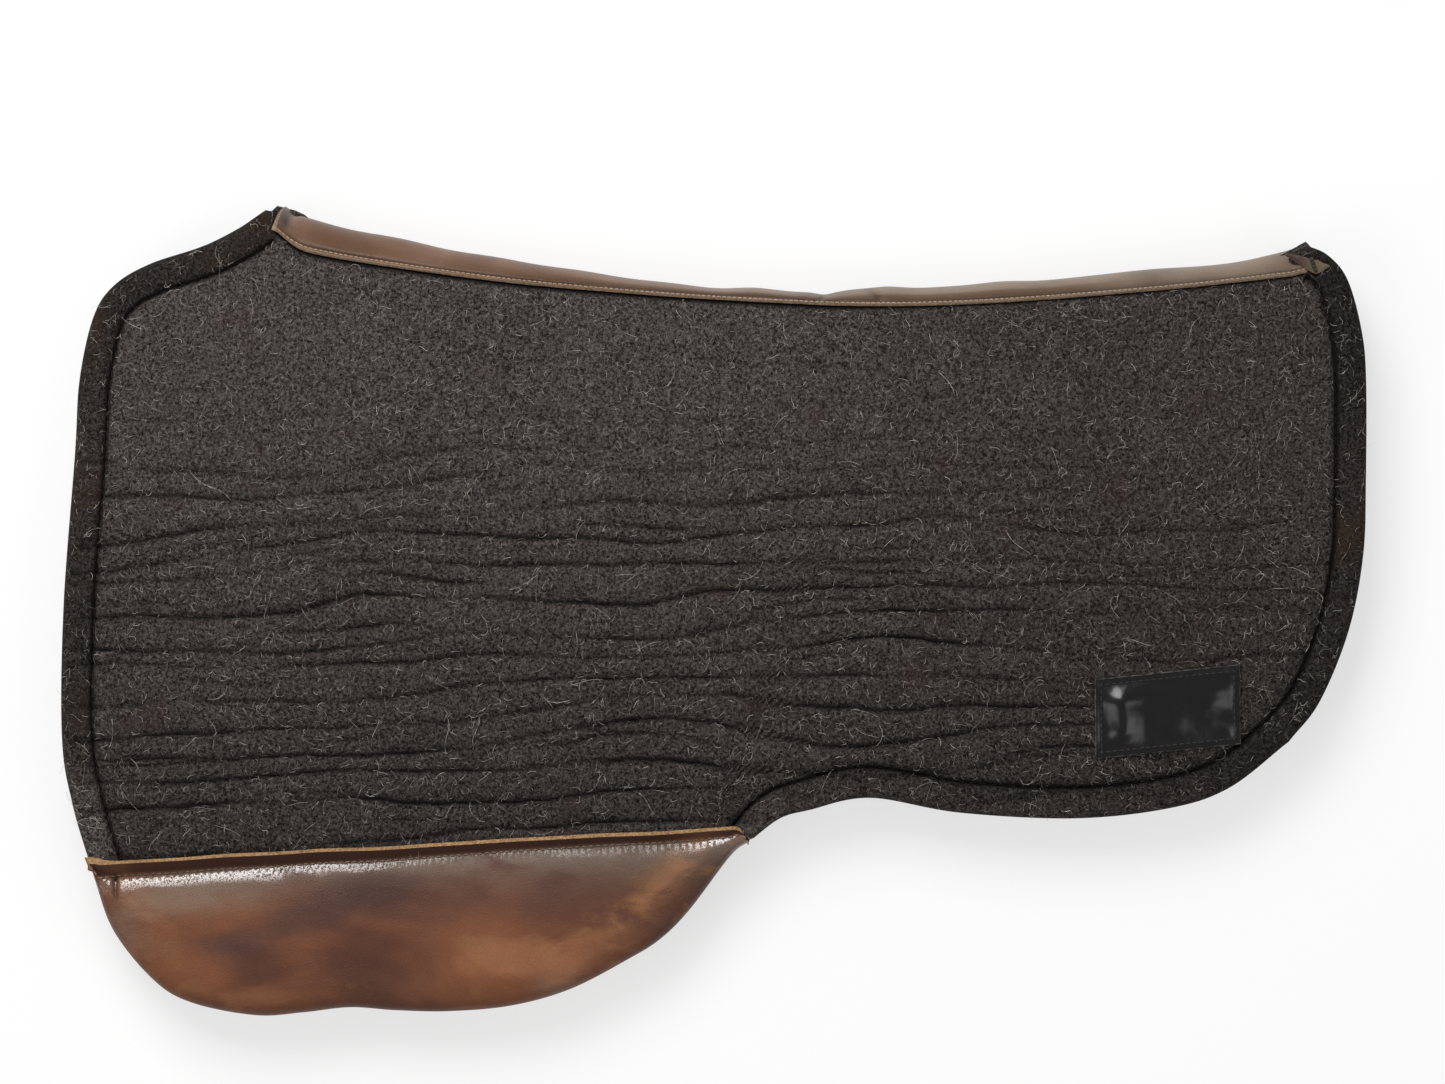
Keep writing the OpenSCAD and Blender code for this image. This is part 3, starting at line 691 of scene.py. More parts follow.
# Creases run about level across the outer faces: long wavering lines, with short ones between
creaseLook = {
    "seed": 41, "top": -62.0, "bottom": -425.0, "pitch": (14.0, 20.0), "slope": 0.010,
    "lean": 0.055, "bow": -0.00007, "drift": 3.8, "driftRun": 75.0, "driftSeed": 44,
    "longDepth": (0.62, 1.0), "shortDepth": (-0.25, 0.45),
    "waves": (((240, 380), 2.6), ((100, 170), 1.4), ((45, 80), 0.8), ((18, 30), 0.35)),
    "longFades": (((260, 520), 0.24), ((110, 180), 0.16), ((40, 70), 0.10)),
    "shortFades": (((200, 380), 0.42), ((90, 150), 0.28), ((40, 70), 0.12)),
    # The core, rolls and depth shape the creases and their painted shade; the last keys weigh the painted
    # shade above each and the painted light on the roll below
    "core": 1.3, "rollAbove": 7.0, "rollBelow": 3.2, "depth": 4.6, "paintedShadeAbove": 0.42,
    "paintedRollLight": 0.95, "litAt": 2.6, "litRun": 6.0,
    # Creases are faint above the first level, and half as strong towards the rear
    "faint": 0.14, "faintTo": -100.0, "fullRun": 100.0,
    "rearFrom": 100.0, "rearRun": 170.0, "rearLoss": 0.5,
}


def makeCreases():
    look = creaseLook
    rng = np.random.default_rng(look["seed"])

    def crease(y, depth, fades):
        return {
            "y": y, "slope": rng.normal(0, look["slope"]), "depth": rng.uniform(*depth),
            "waves": [(rng.uniform(*span), rng.uniform(0.4, 1.0) * rise, rng.uniform(0, 2 * math.pi))
                      for span, rise in look["waves"]],
            "fades": [(rng.uniform(*span), rise, rng.uniform(0, 2 * math.pi)) for span, rise in fades],
        }

    creases = []
    y = look["top"]
    while y > look["bottom"]:
        step = rng.uniform(*look["pitch"])
        creases.append(crease(y, look["longDepth"], look["longFades"]))
        creases.append(crease(y - step * rng.uniform(0.35, 0.65), look["shortDepth"], look["shortFades"]))
        y -= step
    return creases


def creaseStrength(p):
    look = creaseLook
    down = lerp(look["faint"], 1, smooth((look["faintTo"] - p[:, 1]) / look["fullRun"]))
    back = 1 - look["rearLoss"] * smooth((p[:, 0] - look["rearFrom"]) / look["rearRun"])
    return down * back


def waved(x, waves):
    return sum(rise * np.sin(2 * math.pi * x / run + start) for run, rise, start in waves)


def creaseField(p, creases):
    # How deep each point lies in a crease, and the painted shade in and above it less the painted light on
    # the roll below it
    look = creaseLook
    x, y = p[:, 0], p[:, 1]
    valley, dark, paintedRollLight = np.zeros(len(p)), np.zeros(len(p)), np.zeros(len(p))
    drift = look["drift"] * ripple(p * (0.32, 1.0), look["driftRun"], look["driftSeed"])
    for c in creases:
        level = c["y"] + (look["lean"] + c["slope"]) * x + look["bow"] * x ** 2
        below = level + waved(x, c["waves"]) + drift - y
        cut = np.clip(c["depth"] + waved(x, c["fades"]), 0, 1)
        sharp = bell(below, look["core"])
        soft = np.exp(-np.abs(below) / np.where(below < 0, look["rollAbove"], look["rollBelow"]))
        valley = np.maximum(valley, cut * (0.4 * sharp + 0.6 * soft))
        dark = np.maximum(dark, cut * (0.85 * sharp + look["paintedShadeAbove"] * soft * (below < 0)))
        fading = np.exp(-np.maximum(below, 0) / look["litRun"])
        paintedRollLight = np.maximum(paintedRollLight, cut * smooth(below / look["litAt"]) * fading)
    strength = creaseStrength(p)
    return valley * strength, (dark - look["paintedRollLight"] * paintedRollLight) * strength


crownCentre = np.array([(frontX + rearX) / 2, -0.41 * pad["frontDrop"]])
crownReach = np.array([0.55 * (rearX - frontX), 0.53 * pad["frontDrop"]])


def crownField(p):
    away = (p - crownCentre) / crownReach
    return pad["crown"] * np.exp(-(away ** 2).sum(axis=1))


def seamHeight(p):
    # Distance above the wear leather's seam, along its whole line
    return (p - seamFront) @ seamUp


# Heights above the seam, front and rear, and the shares of its length where the draw fades
drawLook = {
    "sewn": (-4.0, 4.5), "lip": (5.0, 9.0), "from": 14.0, "fade": 6.0, "front": 0.015, "rear": 0.012,
}


def seamDraw(p):
    # How far the felt is drawn down under the wear leather's lip
    look = drawLook
    u, risen = (p - seamFront) @ seamWay / pad["wearLength"], seamHeight(p)
    sewnAt, lipAt = lerp(*look["sewn"], u), lerp(*look["lip"], u)
    drawn = 1 - smooth((risen - sewnAt) / (lipAt - sewnAt))
    drawn = drawn * smooth((risen + look["from"]) / look["fade"])
    return drawn * smooth(u / look["front"]) * smooth((1 - u) / look["rear"])


def hiddenFace(rim, first):
    # Rings from a felt's inner rim to its middle, closest near the rim so that they bend with the rest
    total, shares = len(rim), (0.1, 0.2, 0.32, 0.5)
    spots = np.vstack([lerp(rim, crownCentre, share) for share in shares] + [crownCentre[None]])
    ids = np.vstack([np.arange(total), first + np.arange(len(shares) * total).reshape(-1, total)])
    ids = np.hstack([ids, ids[:, :1]])
    hub = first + len(spots) - 1
    last = ids[-1].tolist()
    faces = gridQuads(ids).tolist() + [[hub, b, a] for a, b in zip(last[:-1], last[1:])]
    return np.column_stack([spots, np.full(len(spots), pad["lining"])]), faces


def layFelt(st, inset):
    # Rings of points in from the outline, then the open sheet inside the last ring
    rings, total = len(inset), st["total"]
    inset = inset - feltStand["swell"] * st["swell"][None] * np.linspace(1, 0, rings)[:, None]
    flat = (st["points"][None] + inset[..., None] * st["inward"][None]).reshape(-1, 2)
    ids, fresh = sheetIds(st, (rings - 1) * total, rings * total)
    sheet = coonsSheet(st, flat[-total:]).reshape(-1, 2)[fresh.ravel()]
    return {
        "rings": rings, "inset": inset, "flat": flat, "sheet": sheet, "ids": ids,
        "points": np.vstack([flat, sheet]), "foot": (rings - 1) * total + st["atFront"],
    }


def closeFelt(name, side, st, laid, z, look, material):
    # One skin of the rings, the sheet, the ledge under the wear leather and the hidden face
    points, rings, foot, rows = laid["points"], laid["rings"], laid["foot"], look["ledgeRows"]
    total, cols = st["total"], st["tongueCols"]
    rim = laid["flat"][foot + 1:foot + cols]
    ledge = []
    for row in range(1, rows):
        run = lerp(st["seam"][1:cols], rim, row / rows)
        away = np.linalg.norm(run - rim, axis=1) + look["innerInset"]
        ledge.append(np.column_stack([run, look["ledge"] * (away < look["ledgeEnd"])]))
    ledge = np.vstack(ledge)
    hidden, hiddenFaces = hiddenFace(laid["flat"][:total], len(points) + len(ledge))
    ringIds = np.arange(rings * total).reshape(rings, total)
    ledgeIds = np.empty((rows + 1, cols + 1), int)
    ledgeIds[0] = laid["ids"][st["rows"], :cols + 1]
    ledgeIds[1:] = foot + np.arange(cols + 1)
    ledgeIds[1:rows, 1:cols] = len(points) + np.arange(len(ledge)).reshape(rows - 1, -1)
    grids = np.hstack([ringIds, ringIds[:, :1]]), laid["ids"], ledgeIds
    faces = tidyFaces(np.vstack([gridQuads(grid) for grid in grids])) + hiddenFaces
    verts = np.vstack([np.column_stack([points, z]), ledge, hidden])
    return makePiece(name, placed(verts, side), faces, [material]), verts


def keepOnFelt(piece, **fields):
    # Values for the rings and the sheet; the rest of the skin gets 0
    for name, values in fields.items():
        spare = len(piece.data.vertices) - len(values)
        keepAttribute(piece, name, np.concatenate([values, np.zeros(spare)]))


def lumpy(p, kinds):
    # A sum of random fields, each with its height, size and seed
    return sum(high * ripple(p, size, seed) for high, size, seed in kinds)


def makeOuterFelt(name, side, counts, creases):
    look, stand = outerProfile, feltStand
    st = makeStations(*counts, look["innerInset"])
    width = st["width"][None]
    # The felt stands out past the ends of the spine leather
    endFront, endRear = st["endFront"][None], st["endRear"][None]
    fading = np.linspace(1, 0, len(noseAngles))[:, None]
    nose = lerp(noseInset(width, noseAngles[:, None]), column(look["rearNoseInset"]), endRear)
    nose = nose - (stand["front"] * endFront + stand["rear"] * endRear ** 2) * fading
    if side < 0:
        nose = lerp(nose, -stand["dome"], st["dome"][None] * fading ** 0.5)
    noseLevel = look["noseTop"] * np.sin(noseAngles)[:, None] - look["noseDrop"]
    noseLevel = lerp(noseLevel, column(look["rearNoseLevel"]), endRear)
    bulging = np.sin(np.linspace(0, math.pi, len(noseAngles)))[:, None]
    noseLevel = noseLevel + look["noseSwell"] * endFront * bulging
    ridgeInset = np.vstack([nose, width + column(look["ridgePast"])])
    ridgeLevel = np.vstack([noseLevel, column(look["ridgeLevel"]) + 0 * width])
    edgeInset = column(look["edgeInset"])
    fromGroove = np.abs(edgeInset - look["groove"])
    edgeLevel = (column(look["edgeLevel"]) - look["grooveDepth"] * np.exp(-fromGroove / look["grooveWidth"])
                 - look["shoulderDepth"] * np.exp(-fromGroove / look["shoulderWidth"]))
    level = mixed(st, edgeLevel, column(look["tongueLevel"]), ridgeLevel)
    laid = layFelt(st, mixed(st, edgeInset, column(look["tongueInset"]), ridgeInset))
    points, flat, sheet, foot = laid["points"], laid["flat"], laid["sheet"], laid["foot"]

    onEdge = np.clip(1 - st["onTongue"] - st["onRidge"], 0, 1)[None]
    pastStrip = np.maximum(ridgeInset - width - look["stripEdge"], 0)
    lift = mixed(st, smooth((edgeInset - look["flatTo"]) / look["crownRun"]), 0.0 * edgeInset,
                 smooth(pastStrip / look["crownRun"]))
    ends = flat[foot], flat[foot + st["tongueCols"]]
    dip = np.maximum(*[np.exp(-(((sheet - end) / look["dipRun"]) ** 2).sum(axis=1)) for end in ends])
    rimDraw = look["draw"] * seamDraw(flat) * np.tile(1 - st["onTongue"], laid["rings"])
    sheetDraw = np.maximum(look["dip"] * dip, look["draw"] * seamDraw(sheet))
    base = np.concatenate([level.ravel() - rimDraw, pad["half"] - sheetDraw])
    rise = np.concatenate([lift.ravel(), 1 - dip])
    border = (onEdge * (edgeInset < look["borderTo"])).ravel()
    edgeShare = smooth((edgeInset - 1) / 6) * (1 - look["borderCrease"] * (edgeInset < look["groove"]))
    creaseShare = np.concatenate([(onEdge * edgeShare).ravel(), 1 - dip])
    valley, core = (field * creaseShare for field in creaseField(points, creases))
    # Painted shade along the groove and a painted shadow beside the spine leather join the crease darkness
    gapPaintedShadow = look["gapPaintedShadow"] * (1 - 0.7 * smooth((st["points"][:, 0] - 20) / 100)) * st["onRidge"]
    sewn = (onEdge * bell(fromGroove, look["grooveShadeWidth"])
            + gapPaintedShadow * bell(pastStrip, look["gapShadowWidth"]))
    core = np.maximum(core, np.concatenate([sewn.ravel(), np.zeros(len(sheet))]))
    lumps = lumpy(points, look["lumps"])
    if side > 0:
        z = base + rise * (crownField(points) + lumps) - creaseLook["depth"] * valley
    else:
        z = base - look["offCrease"] * creaseLook["depth"] * valley
        z = np.minimum(z - look["offLumps"] * rise * np.abs(lumps), pad["half"])
    piece, verts = closeFelt(name, side, st, laid, z, look, outerFelt)

    # No loose strands on the rim, low down or over a crease's line
    onTop = np.repeat(np.arange(laid["rings"]) > 2, st["total"]) & (level.ravel() > look["strandsFrom"])
    shown = np.concatenate([onTop, np.ones(len(sheet))]) * (core <= look["strandsTo"])
    # crease holds the painted shade and light of the creases, the groove and the gap
    keepOnFelt(piece, crease=core, border=border, shown=shown)
    ring = look["edgeInset"].index(look["groove"])
    return piece, {"stations": st, "groove": verts[ring * st["total"]:(ring + 1) * st["total"]]}


def makeLining(name, side, counts):
    look, stand = liningProfile, feltStand
    st = makeStations(*counts, look["innerInset"])
    endFront, endRear = st["endFront"], st["endRear"]
    nose = noseInset(st["width"], noseAngles[0])
    nose = nose * (1 - look["frontDraw"] * endFront - look["rearDraw"] * endRear)
    nose = nose - stand["rear"] * endRear ** 2
    if side < 0:
        nose = lerp(nose, -stand["dome"], st["dome"])
    ridgeInset = nose[None] + column(look["ridgeInset"])
    level = mixed(st, column(look["edgeLevel"]), column(look["tongueLevel"]), column(look["ridgeLevel"]))
    laid = layFelt(st, mixed(st, column(look["edgeInset"]), column(look["tongueInset"]), ridgeInset))
    fresh = len(laid["sheet"])
    free = smooth((laid["inset"] - look["flatTo"]) / look["lumpRun"]).ravel()
    lumps = look["lumps"] * np.abs(ripple(laid["points"], 16, 8)) * np.concatenate([free, np.ones(fresh)])
    z = np.concatenate([level.ravel(), np.zeros(fresh)]) + lumps
    piece, _ = closeFelt(name, side, st, laid, z, look, liningFelt)
    shown = np.concatenate([np.repeat(np.arange(laid["rings"]) > 2, st["total"]), np.ones(fresh)])
    keepOnFelt(piece, crease=[], border=[], shown=shown)
    return piece


creases = makeCreases()
# Points down a side, along the tongue and along the belly
fineCounts, plainCounts = (320, 130, 95), (110, 65, 48)
nearOuter, nearLines = makeOuterFelt("nearOuterFelt", 1, fineCounts, creases)
offOuter, offLines = makeOuterFelt("offOuterFelt", -1, plainCounts, creases)
nearLining = makeLining("nearLiningFelt", 1, plainCounts)
offLining = makeLining("offLiningFelt", -1, plainCounts)
print("felts made")


# Leathers
wearLeatherLook = {
    "stations": 320, "turn": 34.0, "fold": 3.0, "rim": 9.0, "top": 23.0, "thick": 2.8,
    "riseFront": 6.0, "riseRear": 10.0, "endFront": 11.0, "endRear": 9.0,
    "stitchFront": 10.6, "stitchRear": 6.4, "tip": 2.0,
    "liftFront": 6.5, "liftRear": 3.4, "bulge": 1.0, "pucker": 4.3,
    "blunt": 0.95, "endShow": 2.2, "insetFront": -0.4, "insetRear": 2.0, "flare": 2.4, "waver": 0.5,
    "slitAt": 14.5, "slitDepth": 2.4, "slitWidth": 1.4, "slitRun": 20.0,
    # Where the leather is short of these lengths, its face and its lip are squeezed
    "fullFace": 34.0, "fullLip": 17.0, "footShift": 1.3, "seamFrom": 7.0,
    "seamSteps": (5.6, 4.4, 3.3, 2.3, 1.4, 0.7, 0.0), "lumps": ((0.45, 60, 14), (0.12, 17, 15)),
    "raise": 1.2, "sagFront": 4.4, "sagMiddle": 2.8, "sagRear": 1.6, "sagAbove": 9.0, "sagBelow": 1.2,
    "offForm": 0.35, "clearance": 0.2, "stitchOut": 0.8, "offStitchOut": 0.1,
    # Reaches of the painted fields
    "glossFrom": 3.0, "glossRun": 6.0, "bendAt": 27.0, "bendRun": 11.0,
    "seamRun": 38.0, "rimRun": 26.0, "lipRun": 2.5,
    # Patches of wear and of painted sheen: share of the length, depth below the seam, and the reach of each
    "soot": ((0.43, 19, 0.09, 14), (0.34, 34, 0.075, 11), (0.25, 46, 0.065, 10)),
    "deep": ((0.43, 56, 0.09, 24), (0.29, 62, 0.045, 15)),
    "paintedSheen": ((0.19, 17, 0.08, 10), (0.62, 4, 0.22, 9), (0.10, 34, 0.04, 20), (0.69, 82, 0.03, 10)),
    "rubbed": ((0.61, 64, 0.08, 14), (0.70, 65, 0.07, 10), (0.69, 78, 0.02, 9), (0.30, 80, 0.05, 8)),
}


def pathNormals(path):
    # Left-hand normals of a row of flat paths, shaped (stations, points, 2)
    step = np.gradient(path, axis=1)
    step = unit(step)
    return np.stack([-step[..., 1], step[..., 0]], axis=-1)


def sharpBetweenMaterials(piece):
    work = bmesh.new()
    work.from_mesh(piece.data)
    for edge in work.edges:
        used = {face.material_index for face in edge.link_faces}
        edge.smooth = len(used) < 2
    work.to_mesh(piece.data)
    work.free()


def makeShell(name, outer, inner, side, materials):
    # A closed skin between two grids of points; its four cut edges take the second material
    lines, count = outer.shape[:2]
    ids = np.arange(lines * count).reshape(lines, count)
    back = ids + lines * count
    faces = [gridQuads(ids), gridQuads(back)[:, ::-1]]
    rims = [(ids[:, 0], back[:, 0]), (ids[:, -1], back[:, -1]), (ids[0], back[0]), (ids[-1], back[-1])]
    cut = [gridQuads(np.stack([a, b])) for a, b in rims]
    kinds = [0] * sum(map(len, faces)) + [1] * sum(map(len, cut))
    verts = np.vstack([outer.reshape(-1, 3), inner.reshape(-1, 3)])
    piece = makePiece(name, placed(verts, side), np.vstack(faces + cut).tolist(), materials, kinds)
    sharpBetweenMaterials(piece)
    return piece


def keepOnShell(piece, fields):
    # The same values on both faces of a shell
    for name, values in fields.items():
        keepAttribute(piece, name, np.tile(values.ravel(), 2))


def makeWearLeather(name, side):
    look = wearLeatherLook
    near = side > 0
    feet = evenly(edges["tongue"], look["stations"])
    u = np.linspace(0, 1, len(feet))
    feet = feet + look["footShift"] * smooth(1 - u / 0.02)[:, None] * seamWay
    # The seam runs above a line between the outline's corners, and turns down to them at its ends
    rise = lerp(look["riseFront"], look["riseRear"], u)
    start = np.clip(u * pad["wearLength"] / look["endFront"], 0, 1)
    stop = np.clip((1 - u) * pad["wearLength"] / look["endRear"], 0, 1)
    hook = lerp(look["blunt"], 1, np.sqrt(1 - (1 - start) ** 2)) * np.sqrt(1 - (1 - stop) ** 2)
    frontHead, rearHead = seamFront + look["insetFront"] * seamWay, seamRear - look["insetRear"] * seamWay
    heads = lerp(frontHead, rearHead, u[:, None])
    rise = rise + look["waver"] * ripple(heads, 60, 22)
    heads = heads + (rise * hook)[:, None] * seamUp
    reach = np.linalg.norm(heads - feet, axis=1)
    way = (heads - feet) / reach[:, None]
    squeeze = np.minimum(1, reach / look["fullFace"])
    lipSqueeze = np.minimum(1, reach / look["fullLip"])
    stitchAt = lerp(look["stitchFront"], look["stitchRear"], u) * lipSqueeze
    rim = look["rim"] * squeeze
    turn = np.minimum(look["turn"], 0.9 * reach)
    quarter = np.radians(np.linspace(0, 90, 5)[1:-1])
    arc = np.radians(np.linspace(0, 90, 9))
    fold, top = look["fold"], look["top"]

    def across(values):
        return np.broadcast_to(np.asarray(values, float), (len(feet), np.shape(values)[-1]))

    foldIn = np.minimum(fold, turn * 0.5)
    wall = top - look["rim"]
    sewnAt, lipEnd = reach - stitchAt, reach - look["tip"] * lipSqueeze
    faceEnd = sewnAt - look["seamFrom"] * squeeze
    # Stretches of the section, each as distances from the foot and levels: turned under, folded, the
    # wall, the rim, the face, the sewn line and the lip
    stretches = [
        (lerp(turn[:, None], foldIn[:, None], np.linspace(0, 1, 6)), np.zeros(6)),
        (foldIn[:, None] * (1 - np.sin(quarter)), fold * (1 - np.cos(quarter))),
        (np.zeros(5), np.linspace(fold, wall - 1, 5)),
        (rim[:, None] * (1 - np.cos(arc)), wall + look["rim"] * np.sin(arc)),
        (lerp(rim[:, None], faceEnd[:, None], np.linspace(0, 1, 24)[1:]), np.full(23, top)),
        (sewnAt[:, None] - squeeze[:, None] * np.array(look["seamSteps"]), np.full(7, top)),
        (lerp(sewnAt[:, None], lipEnd[:, None], np.linspace(0, 1, 9)[1:]), np.full(8, top)),
    ]
    a, z = (np.concatenate([across(values) for values in part], axis=1) for part in zip(*stretches))
    faceFrom = sum(len(levels) for _, levels in stretches[:4])
    q = reach[:, None] - stitchAt[:, None] - a
    flat = feet[:, None] + a[..., None] * way[:, None]
    onFace = smooth((a - 0.6 * rim[:, None]) / 12.0) * (np.arange(a.shape[1]) >= faceFrom - 4)
    span = np.maximum(reach - stitchAt - rim, 1.0)[:, None]
    puff = np.sin(math.pi * np.clip((a - rim[:, None]) / span, 0, 1)) ** 0.7
    lumps = lumpy(flat.reshape(-1, 2), look["lumps"]).reshape(a.shape) * (1 - np.exp(-np.abs(q) / 6.0))
    pucker = np.sin(2 * math.pi * runLengths(heads)[:, None] / look["pucker"])
    pinch = pucker * bell(q - 2.2, 2.0)
    sag = lerp(look["sagFront"], look["sagMiddle"], smooth(u / 0.5))
    sag = sag + look["sagRear"] * smooth((u - 0.8) / 0.2)
    sunk = sag[:, None] * np.exp(-np.where(q > 0, q / look["sagAbove"], -q / look["sagBelow"]))
    # A tuck near the front end, where the leather turns under
    fromSlit = (flat - seamFront) @ seamWay - look["slitAt"]
    slit = bell(fromSlit, look["slitWidth"]) * smooth(2 - 2 * q / look["slitRun"])
    slit = slit * smooth((q + 3) / 3)
    form = (look["bulge"] * puff + look["raise"] - sunk + 0.25 * pinch + lumps) * squeeze[:, None]
    form = form - look["slitDepth"] * slit
    z = z + onFace * form * (1.0 if near else look["offForm"])
    if near:
        lift = lerp(look["liftFront"], look["liftRear"], u) * (1 + 0.12 * ripple(heads, 70, 21))
        share = np.clip(-q / (stitchAt - look["tip"] * lipSqueeze)[:, None], 0, 1)
        z = z + lift[:, None] * share ** 1.25 * lipSqueeze[:, None]
        thick = look["thick"] + look["flare"] * smooth(1 - u / 0.05)[:, None] * share
    else:
        z = np.minimum(z, pad["half"] - look["clearance"])
        thick = np.full_like(a, look["thick"])
    path = np.stack([a, z], axis=-1)
    back = path - thick[..., None] * pathNormals(path)
    if not near:
        back[..., 1] = np.minimum(back[..., 1], pad["half"] - look["clearance"])
    backFlat = feet[:, None] + back[..., :1] * way[:, None]
    outer = raisedTo(flat, z)
    inner = raisedTo(backFlat, back[..., 1])
    inner[0, :, :2] -= look["endShow"] * smooth((8 - q[0]) / 6)[:, None] * seamWay
    piece = makeShell(name, outer, inner, side, [wearLeather, rawEdge])
    polished = np.maximum(smooth(u / 0.05) * smooth((0.56 - u) / 0.3), smooth((u - 0.86) / 0.1))
    gloss = bell(np.maximum(q - look["glossFrom"], 0), look["glossRun"]) * (q > 0)
    gloss = lerp(0.25, 1, polished)[:, None] * gloss
    # A painted highlight where the leather bends round near the rim
    bendLightAlong = np.maximum(smooth((u - 0.52) / 0.2), 0.6 * smooth((0.24 - u) / 0.12))
    bend = bell(a - look["bendAt"], look["bendRun"]) * bendLightAlong[:, None]
    # seam also carries a painted sheen, rim a painted shade, bend a painted highlight, and lip the painted
    # shade on the lip and in the tuck
    fields = {
        "seam": smooth(1 - np.maximum(q, 0) / look["seamRun"]), "rim": smooth(1 - a / look["rimRun"]),
        "gloss": gloss, "bend": bend, "lip": np.maximum(smooth(-q / look["lipRun"]), slit),
    }
    for field in ("soot", "deep", "paintedSheen", "rubbed"):
        spots = [bell(u[:, None] - share, wide) * bell(q - down, high)
                 for share, down, wide, high in look[field]]
        fields[field] = np.minimum(sum(spots), 1)
    keepOnShell(piece, fields)
    stitchIndex = -1 - len(stretches[-1][1])
    return piece, outer[:, stitchIndex] + (0, 0, look["stitchOut" if near else "offStitchOut"])


spineLook = {
    "thick": 2.6, "skived": 1.3, "top": 23.3, "bevelOut": -0.3, "bevelIn": 0.8, "endBevel": 2.8,
    "stitchAt": (1.1, 2.0), "channel": 0.8, "edgeLift": 1.3, "flare": 3.0, "flareRun": 15.0, "cutBack": 6.0,
    "pinchX": 22.5, "pinch": 1.3, "pinchRun": 6.0, "hollow": 1.6, "offCut": 14.0, "offCutRun": 60.0,
    "cutRun": 22.0, "peak": 3.4, "peakRun": 3.8, "sink": 1.2, "sinkAt": 8.0, "sinkRun": 4.0,
    "hollowAt": 3.0, "hollowRun": 3.2, "finer": 3, "offLift": 0.5, "clearance": 0.05,
    "lumps": ((0.25, 40, 31), (0.1, 13, 32)), "waver": 0.25, "stitchOut": 0.35,
    # Wrinkles out from the pinch: depth, place beside it, slant and width
    "wrinkles": ((2.6, 0, 0.5, 2.2), (1.9, -27, -0.8, 3.4), (0.8, 8, 0.6, 2.6)),
    "swells": ((-44, 17, 1.8), (18, 10, 0.9), (37, 14, 2.0), (108, 18, 1.5), (197, 24, 2.0)),
    "cosines": (0, 0.03, 0.06, 0.09, 0.12, 0.15, 0.18, 0.22, 0.27, 0.33, 0.4, 0.5, 0.6, 0.7, 0.8,
                0.87, 0.93, 0.97, 0.993),
}


